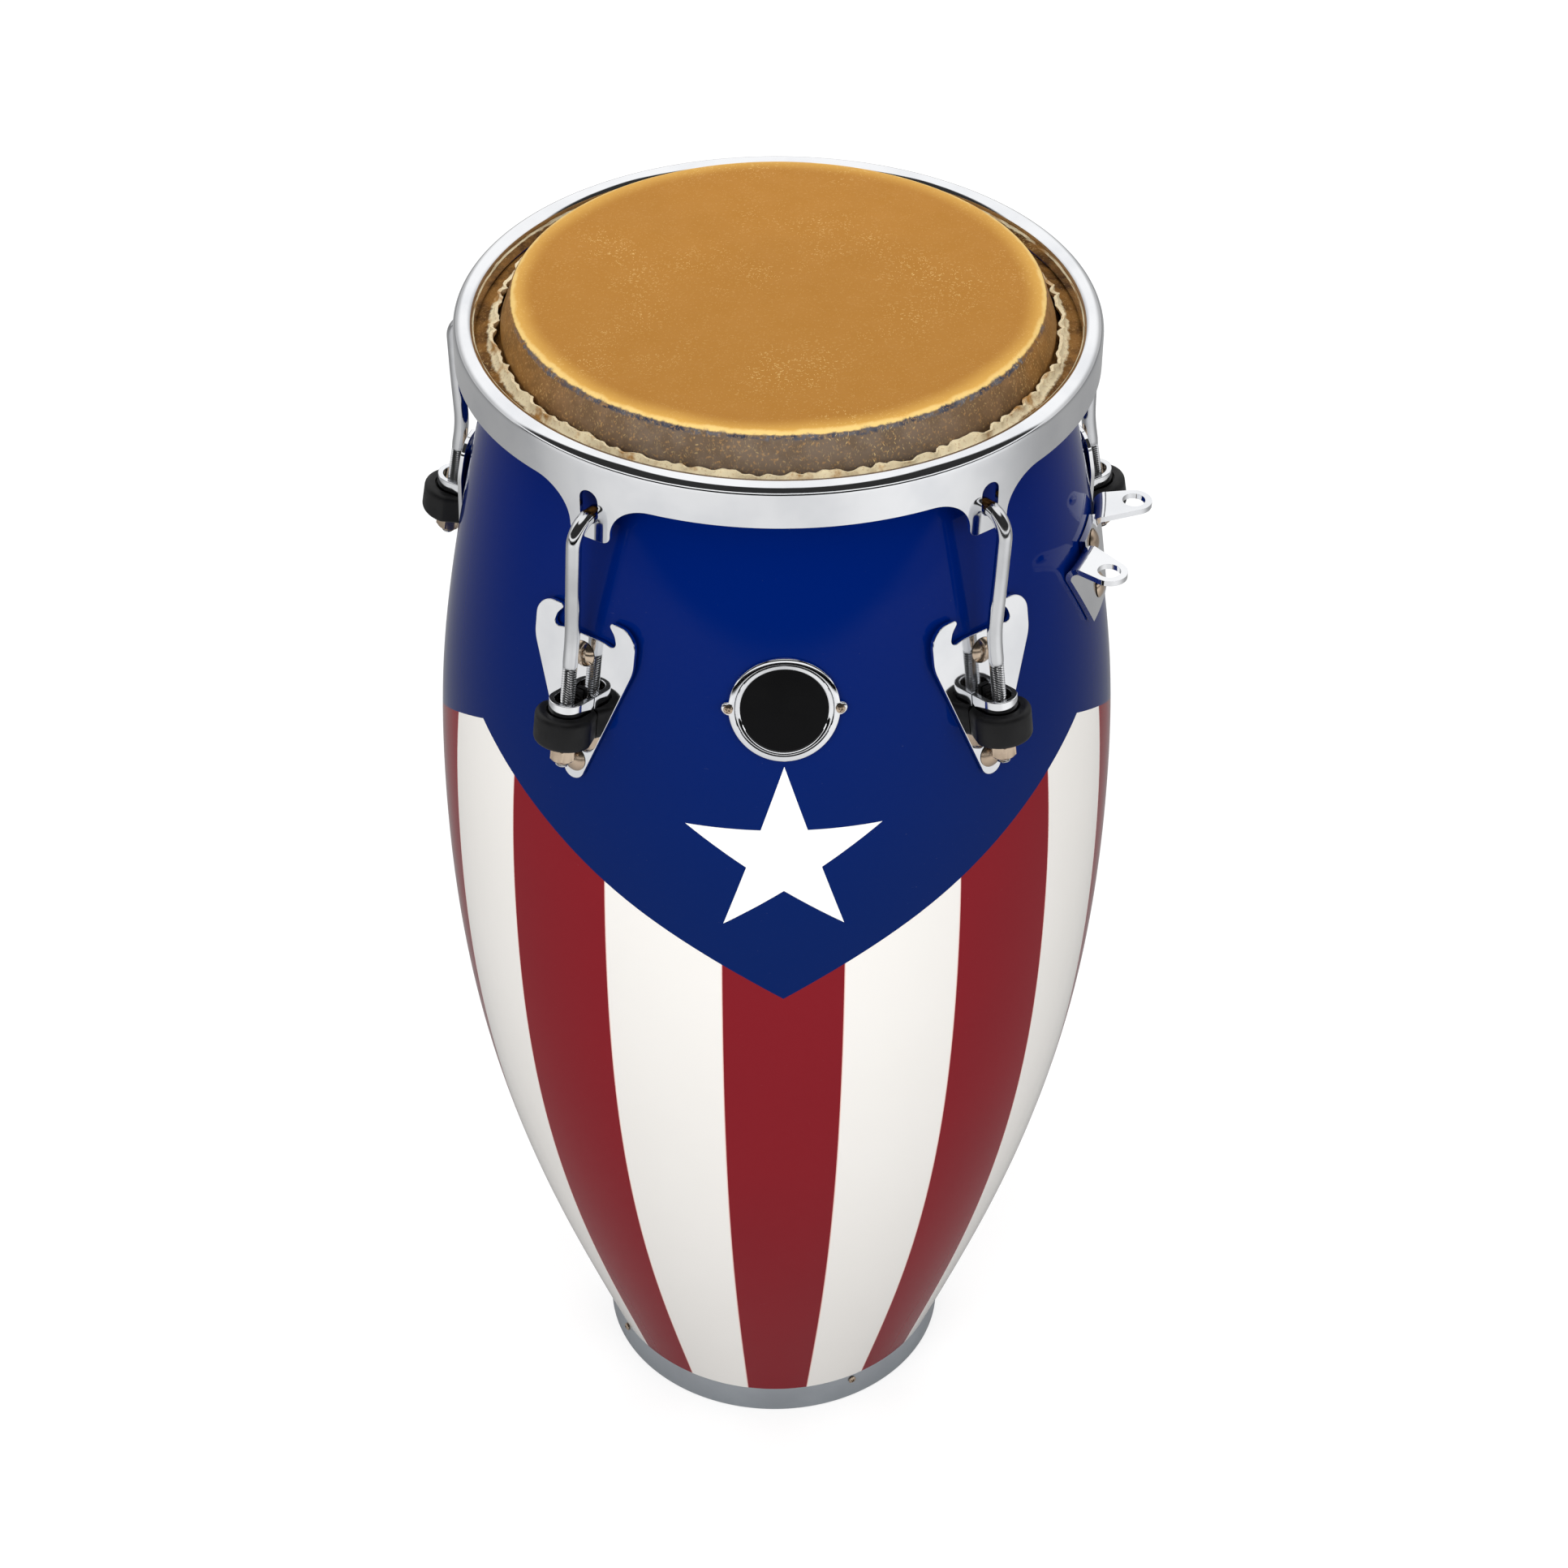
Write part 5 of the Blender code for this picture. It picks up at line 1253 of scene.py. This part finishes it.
for number in range(BAND_SCREWS):
    azimuth = BAND_SCREW_AZIMUTH + 360 / BAND_SCREWS * number
    where = leaning(azimuth, BAND_OUTER + GAP, BAND_SCREW_HEIGHT)
    put(f"band_pan_screw_{number + 1}", SCREW, "drum", [f"band_screw_{number + 1}"], NICKEL, where)
print("foot: band, ring and", BAND_SCREWS, "screws")

# %% [markdown]
# ## The badge
# The badge is a disc that is bent to the shell, with a plain black field inside a bright border and an ear
# for a screw on each side. Its rings are laid out flat and then wrapped: each point takes the shell's
# radius at its own height.

# %% Badge
BADGE_HEIGHT = HEAD_HEIGHT - 0.1465
BADGE_RADIUS = 0.0291
BADGE_EAR = 0.0036
BADGE_GROOVE = (0.0262, 0.0259, 0.0256, 0.0253)
BADGE_BORDER = 0.0237
BADGE_FIELD = 0.0231
BADGE_TOP = 0.0018
GROOVE_FLOOR = 0.0015
FIELD_STAND = 0.0013


def badge_reach(angle):
    """Distance from the badge's centre to its edge, which takes in a round ear at each side."""
    across = abs(BADGE_RADIUS * math.sin(angle))
    if across >= BADGE_EAR:
        return BADGE_RADIUS
    along = abs(BADGE_RADIUS * math.cos(angle))
    return max(BADGE_RADIUS, along + math.sqrt(BADGE_EAR ** 2 - across ** 2))


ear = math.degrees(math.asin(BADGE_EAR / BADGE_RADIUS))
half = spaced(-ear, ear, 17) + spaced(ear, 180 - ear, 56)[1:-1]
angles = [math.radians(angle) for angle in half + [angle + 180 for angle in half]]
# The badge's rings up its side, then over the border and its groove to the field: (reach, stand).
shape = [(0.02, 0.0), (0.5, 0.0), (1.0, 0.0), (1.0, 0.0013), (0.992, 0.0016), (0.98, BADGE_TOP)]
flat = []
for share, stand in shape:
    flat.append(level_ring(angles, [share * badge_reach(angle) for angle in angles], stand))
circles = list(zip(BADGE_GROOVE, (BADGE_TOP, GROOVE_FLOOR, GROOVE_FLOOR, BADGE_TOP)))
circles += [(BADGE_BORDER, BADGE_TOP), (BADGE_BORDER - 0.0003, 0.0016)]
circles += [(reach, FIELD_STAND) for reach in (BADGE_FIELD, 0.0150, 0.0070, 0.0006)]
flat += [level_ring(angles, reach, stand) for reach, stand in circles]
bent = []
for ring in flat:
    row = []
    for x, rise, stand in ring:
        radius = shell_radius(BADGE_HEIGHT + rise) + GAP + stand
        row.append((x, -math.sqrt(radius ** 2 - x ** 2), BADGE_HEIGHT + rise))
    bent.append(row)
badge = to_data("round_badge", ring_mesh(bent, closed=False))
for material in (CHROME, ENAMEL, DARK_METAL):
    badge.materials.append(material)
for face in badge.polygons:
    reach = math.hypot(face.center.x, face.center.z - BADGE_HEIGHT)
    stand = math.hypot(face.center.x, face.center.y) - shell_radius(face.center.z)
    if stand > 0.001 and reach < BADGE_FIELD + 0.0001:
        face.material_index = 1
    elif stand > 0.001 and BADGE_GROOVE[2] - 0.0001 < reach < BADGE_GROOVE[1] + 0.0001:
        face.material_index = 2
put("round_badge", badge, "drum", ["badge"])
surface = shell_radius(BADGE_HEIGHT) + 0.0005 + BADGE_TOP
tilt = math.atan2(shell_radius(BADGE_HEIGHT - 0.007) - shell_radius(BADGE_HEIGHT + 0.007), 0.014)
print("lean of the badge in degrees:", round(math.degrees(tilt), 2))
for name, side in (("left", -1), ("right", 1)):
    where = leaning(side * math.degrees(math.asin(BADGE_RADIUS / surface)), surface, BADGE_HEIGHT, tilt)
    put(f"badge_pan_screw_{name}", SCREW, "drum", [f"badge_screw_{name}"], NICKEL, where)

# %% [markdown]
# ## The stand bracket
# The bracket is one piece of thick sheet: a plate that follows the shell and narrows to its foot, with two
# tabs bent out of its upper corners for a stand. It is built as a surface, row by row, at the badge side.
# bmesh gives it the sheet's thickness, a Boolean drills both holes, and then it is turned to its place.

# %% Bracket sizes
BRACKET_AZIMUTH = 73.6
BRACKET_TOP = HEAD_HEIGHT - 0.1220
BRACKET_FOOT = BRACKET_TOP - 0.0485
BRACKET_MIDDLE = (BRACKET_TOP + BRACKET_FOOT) / 2
BRACKET_SHEET = 0.0032
FOOT_HALF_WIDTH = 0.0172
TAB_TOP = BRACKET_TOP - 0.0008
TAB_SPREAD = 0.0260
TAB_HALF_WIDTH = 0.0125
TAB_BEND = 0.0040 + BRACKET_SHEET
TAB_REACH = 0.0190
TAB_SPLAY = 0.0067
TAB_END_RADIUS = 0.0100
TAB_HOLE_RADIUS = 0.0063
ROOT_SHARES = spaced(-1, 1, 9)

narrowing = shell_radius(BRACKET_FOOT) - shell_radius(BRACKET_TOP)
BRACKET_TILT = math.atan2(narrowing, BRACKET_TOP - BRACKET_FOOT)
slope = math.tan(BRACKET_TILT)
levels = spaced(BRACKET_FOOT, BRACKET_TOP, 80)
BRACKET_RADIUS = max(shell_radius(height) + (height - BRACKET_MIDDLE) * slope for height in levels)
BRACKET_RADIUS += GAP / math.cos(BRACKET_TILT)
print("bracket's radius and lean:", round(BRACKET_RADIUS, 5), round(math.degrees(BRACKET_TILT), 2))

# %% Bracket surface
def add_strip(mesh, row, following):
    """Join two rows of corners with a strip of faces."""
    for i in range(len(row) - 1):
        mesh.faces.new((row[i], row[i + 1], following[i + 1], following[i]))


def wall_row(mesh, places, height):
    """Row of corners on the bracket's plate at a height."""
    radius = BRACKET_RADIUS - (height - BRACKET_MIDDLE) * slope
    return [mesh.verts.new(around(radius + GAP, math.degrees(x / radius), height)) for x in places]


def tab_outward(side):
    """Direction out of the wall at the middle of a tab's root."""
    return around(1, side * math.degrees(TAB_SPREAD / BRACKET_RADIUS), 0)


def tab_middle(side):
    """Place of a tab's hole, about which its round end stands; it is splayed away from the middle."""
    outward = tab_outward(side)
    across = Vector((-outward.y, outward.x, 0))
    middle = outward * (BRACKET_RADIUS + TAB_REACH) + across * side * TAB_SPLAY
    return middle + Vector((0, 0, TAB_TOP))


def add_tab(mesh, roots, side):
    """Bend the sheet outwards from its root corners into a flat tab with a round end."""
    outward = tab_outward(side)
    previous = roots
    for turn in spaced(-BRACKET_TILT, math.pi / 2, 13)[1:]:
        shift = outward * TAB_BEND * (math.cos(BRACKET_TILT) - math.cos(turn))
        shift += Vector((0, 0, TAB_BEND * (math.sin(turn) + math.sin(BRACKET_TILT))))
        row = [mesh.verts.new(corner.co + shift) for corner in roots]
        add_strip(mesh, previous, row)
        previous = row
    middle = tab_middle(side)
    along = middle - (previous[0].co + previous[-1].co) / 2
    along = Vector((along.x, along.y, 0)).normalized()
    aside = Vector((-along.y, along.x, 0))
    row = [mesh.verts.new(middle + aside * TAB_END_RADIUS * share) for share in ROOT_SHARES]
    add_strip(mesh, previous, row)
    end = arc((0, 0), TAB_END_RADIUS, 0, 180, 33)[1:-1]
    mesh.faces.new(row + [mesh.verts.new(middle + aside * x + along * y) for x, y in end])


tab = [TAB_SPREAD + share * TAB_HALF_WIDTH for share in ROOT_SHARES]
middle = spaced(-tab[0], tab[0], 9)[1:-1]
places = [-x for x in reversed(tab)] + middle + tab
start = TAB_TOP - TAB_BEND * (1 + math.sin(BRACKET_TILT))
mesh = bmesh.new()
rows = []
for share in spaced(0, 1, 9):
    half_width = FOOT_HALF_WIDTH + share * (tab[-1] - FOOT_HALF_WIDTH)
    height = BRACKET_FOOT + share * (start - BRACKET_FOOT)
    rows.append(wall_row(mesh, [x * half_width / tab[-1] for x in places], height))
for row, following in zip(rows, rows[1:]):
    add_strip(mesh, row, following)
inner = slice(len(tab) - 1, len(tab) + len(middle) + 1)
add_strip(mesh, rows[-1][inner], wall_row(mesh, places[inner], BRACKET_TOP))
add_tab(mesh, rows[-1][:len(tab)], -1)
add_tab(mesh, rows[-1][-len(tab):], 1)
mesh.normal_update()
bmesh.ops.solidify(mesh, geom=mesh.faces[:], thickness=-BRACKET_SHEET)
bmesh.ops.recalc_face_normals(mesh, faces=mesh.faces)

# %% Drill and place the bracket
holes = bmesh.new()
for side in (-1, 1):
    matrix = Matrix.Translation(tab_middle(side))
    bmesh.ops.create_cone(holes, cap_ends=True, segments=48, radius1=TAB_HOLE_RADIUS,
                          radius2=TAB_HOLE_RADIUS, depth=0.02, matrix=matrix)
bracket = cut_away("bent_bracket", mesh, holes)
turn = Matrix.Rotation(math.radians(BRACKET_AZIMUTH), 4, "Z")
put("bent_bracket", bracket, "drum", ["stand_bracket"], CHROME, turn, bevel=0.0005)
middle = leaning(BRACKET_AZIMUTH, BRACKET_RADIUS, BRACKET_MIDDLE, BRACKET_TILT)
for name, drop in (("upper", 0.0085), ("lower", 0.0360)):
    up = (BRACKET_TOP - drop - BRACKET_MIDDLE) / math.cos(BRACKET_TILT)
    where = middle @ Matrix.Translation((0, 0, up))
    bolt = to_data(f"bracket_carriage_bolt_{name}", bolt_mesh(GAP + BRACKET_SHEET))
    put(f"bracket_carriage_bolt_{name}", bolt, "drum", [f"bracket_bolt_{name}"], NICKEL, where)
print("faces in the bracket:", len(bracket.polygons))

# %% [markdown]
# ## Solids that stay as they are
# The hoop inside the rolled hide and the bars inside the shell are right as plain solids. They only need
# their finish.

# %% Finish the kept solids
kept = ["flesh_hoop", "bracket_backing_plate"] + [f"backing_plate_{number}" for number in range(1, LUGS + 1)]
for name in kept:
    node = frame["nodes"][name]
    node.data.materials.clear()
    node.data.materials.append(STEEL)
print("kept as plain solids:", len(kept))

# %% [markdown]
# ## The studio
# The photograph has a pure white ground. The paper itself is grey, so that it doesn't flood the drum with
# light from below, and a glow tops it up to white for the camera; the drum's shadow stays. Chrome shows the
# room more than itself: mirrors see a floor that is bright in front, greyer at the sides, and that ends in
# the dark behind the camera. Seen from below the floor is clear, so that the drum's open foot can be looked
# at too.

# %% Floor
PAPER_GREY = 0.31
GLOW = 0.72
MIRROR_GLOW = 0.38
RIGHT_GLOW = 0.12
FLOOR_END = -3.0
FLOOR_FADE = 0.4
FLOOR_HALF = 9.0


def seen_by(recipe):
    """Mask of the camera's own rays, and mask of what mirrors and glass see."""
    ray = recipe.node("LightPath").outputs
    return ray["Is Camera Ray"], recipe.math("MAXIMUM", ray["Is Glossy Ray"], ray["Is Transmission Ray"])


PAPER, recipe, _ = finish("studio_paper")
nodes = PAPER.node_tree.nodes
nodes.remove(nodes["Principled BSDF"])
place = recipe.place()
x, y, _ = recipe.split(place)
camera_ray, mirrors = seen_by(recipe)
ended = recipe.ease(y, FLOOR_END + FLOOR_FADE, FLOOR_END - FLOOR_FADE)
reached = recipe.math("SUBTRACT", 1.0, recipe.math("MULTIPLY", ended, mirrors))
fibre = recipe.math("MULTIPLY_ADD", recipe.noise(place, 220.0, 3.0), 0.02, PAPER_GREY)
fibre = recipe.math("MULTIPLY", fibre, reached)
tone = recipe.node("CombineColor", {0: fibre, 1: fibre, 2: fibre}).outputs[0]
paper = recipe.node("BsdfDiffuse", {"Color": tone}).outputs[0]
front = recipe.math("MULTIPLY", recipe.ease(y, 0.35, -0.9), reached)
right = recipe.math("MULTIPLY", front, recipe.ease(x, 0.1, 0.9))
in_mirrors = recipe.math("MULTIPLY_ADD", front, MIRROR_GLOW, recipe.math("MULTIPLY", right, RIGHT_GLOW))
strength = recipe.math("MULTIPLY_ADD", mirrors, in_mirrors, recipe.math("MULTIPLY", camera_ray, GLOW))
glow = recipe.node("Emission", {"Strength": strength}).outputs[0]
lit = recipe.node("AddShader", {0: paper, 1: glow}).outputs[0]
below = recipe.node("NewGeometry").outputs["Backfacing"]
clear = recipe.node("BsdfTransparent").outputs[0]
surface = recipe.node("MixShader", {0: below, 1: lit, 2: clear}).outputs[0]
recipe.fill(nodes["Material Output"].inputs["Surface"], surface)
mesh = bmesh.new()
bmesh.ops.create_grid(mesh, x_segments=1, y_segments=1, size=FLOOR_HALF)
floor = bpy.data.objects.new("studio_floor", to_data("studio_floor", mesh))
floor.data.materials.append(PAPER)
bpy.context.scene.collection.objects.link(floor)
floor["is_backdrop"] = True
print("floor in metres:", 2 * FLOOR_HALF)

# %% [markdown]
# The world is white and lights from overhead more than from the sides. Mirrors see it greyer low down on
# both sides behind the drum. On the camera's side they see a dark room with one thin strip of light, which
# draws the black lines along the rolled rim and the black accents on bent and domed metal.

# %% World
DAYLIGHT = 0.48
OVERHEAD = 0.75
WHITE = 1.06
GREY_LOW = 0.52
DARK_ROOM = 0.03
DARK_TOP = 0.93
STRIP_FOOT = 0.03
STRIP_TOP = 0.19
world = bpy.data.worlds.new("white_studio")
bpy.context.scene.world = world
world.use_nodes = True
recipe = Recipe(world.node_tree)
camera_ray, mirrors = seen_by(recipe)
x, y, height = recipe.split(recipe.node("TexCoord").outputs["Generated"])
beside = recipe.ease(recipe.math("ABSOLUTE", x), 0.15, 0.4)
low = recipe.math("MULTIPLY", recipe.ease(height, 0.52, 0.1), beside)
grey = recipe.math("MULTIPLY", low, recipe.ease(y, -0.3, 0.5))
tone = recipe.math("MULTIPLY_ADD", grey, GREY_LOW - WHITE, WHITE)
not_above = recipe.ease(height, DARK_TOP, DARK_TOP - 0.04)
dark = recipe.math("MULTIPLY", recipe.ease(y, 0.16, 0.02), not_above)
from_strip = recipe.math("ABSOLUTE", recipe.math("SUBTRACT", height, (STRIP_FOOT + STRIP_TOP) / 2))
dark = recipe.math("MULTIPLY", dark, recipe.math("GREATER_THAN", from_strip, (STRIP_TOP - STRIP_FOOT) / 2))
tone = recipe.math("MULTIPLY_ADD", dark, recipe.math("SUBTRACT", DARK_ROOM, tone), tone)
strength = recipe.math("ADD", camera_ray, recipe.math("MULTIPLY", mirrors, tone))
plain = recipe.math("SUBTRACT", 1.0, recipe.math("MAXIMUM", camera_ray, mirrors))
daylight = recipe.math("MULTIPLY_ADD", recipe.ease(height, 0.5, 0.95), OVERHEAD, DAYLIGHT)
strength = recipe.math("MULTIPLY_ADD", plain, daylight, strength)
background = world.node_tree.nodes["Background"]
background.inputs["Color"].default_value = (1.0, 1.0, 1.0, 1.0)
recipe.fill(background.inputs["Strength"], strength)
print("nodes in the world:", len(world.node_tree.nodes))

# %% [markdown]
# Three large soft lamps stand round the drum: a key in front on the left, a fill in front on the right and
# one behind. Chrome would show each of them as a burnt-out square, so they are hidden from mirrors, and the
# chrome shows the floor and the room instead.

# %% Lamps
MIDDLE = Vector((0, 0, 0.42))


def lamp(name, place, size, power):
    """Square soft lamp at a place, turned to the drum's middle and hidden from mirrors."""
    light = bpy.data.lights.new(name, "AREA")
    light.size = size
    light.energy = power
    holder = bpy.data.objects.new(name, light)
    holder.visible_glossy = False
    bpy.context.scene.collection.objects.link(holder)
    holder.location = place
    holder.rotation_euler = (MIDDLE - Vector(place)).to_track_quat("-Z", "Y").to_euler()


lamp("key_softbox", (-1.8, -2.6, 1.6), 2.2, 59)
lamp("fill_softbox", (2.2, -2.2, 1.25), 2.2, 41)
lamp("back_softbox", (0.3, 2.8, 1.5), 2.4, 30)
print("lamps:", [light.name for light in bpy.data.lights])

# %% [markdown]
# ## The camera
# The camera's lens, height, distance and dip were fitted to the photograph. There the drum leans by a
# third of a degree, sits a little left of the middle and is turned slightly on its axis, so the camera
# turns round the drum, moves aside and rolls by the same amounts.

# %% Camera
FOCAL_PIXELS = 4314.2
FRAME_PIXELS = 1932
SENSOR = 36.0
DISTANCE = 1.6205
HEIGHT = 1.7049
DIP = 38.26
ROLL_DEGREES = 0.355
TURN_DEGREES = -1.45
ASIDE = 0.0045
lens = bpy.data.cameras.new("camera")
lens.sensor_width = SENSOR
lens.lens = FOCAL_PIXELS / FRAME_PIXELS * SENSOR
camera = bpy.data.objects.new("camera", lens)
bpy.context.scene.collection.objects.link(camera)
tip = Matrix.Rotation(math.radians(90 - DIP), 4, "X")
roll = Matrix.Rotation(math.radians(ROLL_DEGREES), 4, "Z")
turn = Matrix.Rotation(math.radians(TURN_DEGREES), 4, "Z")
camera.matrix_world = turn @ Matrix.Translation((ASIDE, -DISTANCE, HEIGHT)) @ tip @ roll
bpy.context.scene.camera = camera
bpy.context.scene.view_settings.view_transform = "Standard"
print("lens in mm:", round(lens.lens, 2))

# %% [markdown]
# ## The dressed drum's size
# The dressed drum must stay as large as the plain one. Its size is printed.

# %% Size
low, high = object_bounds()
print("dressed size:", [round(b - a, 4) for a, b in zip(low, high)])
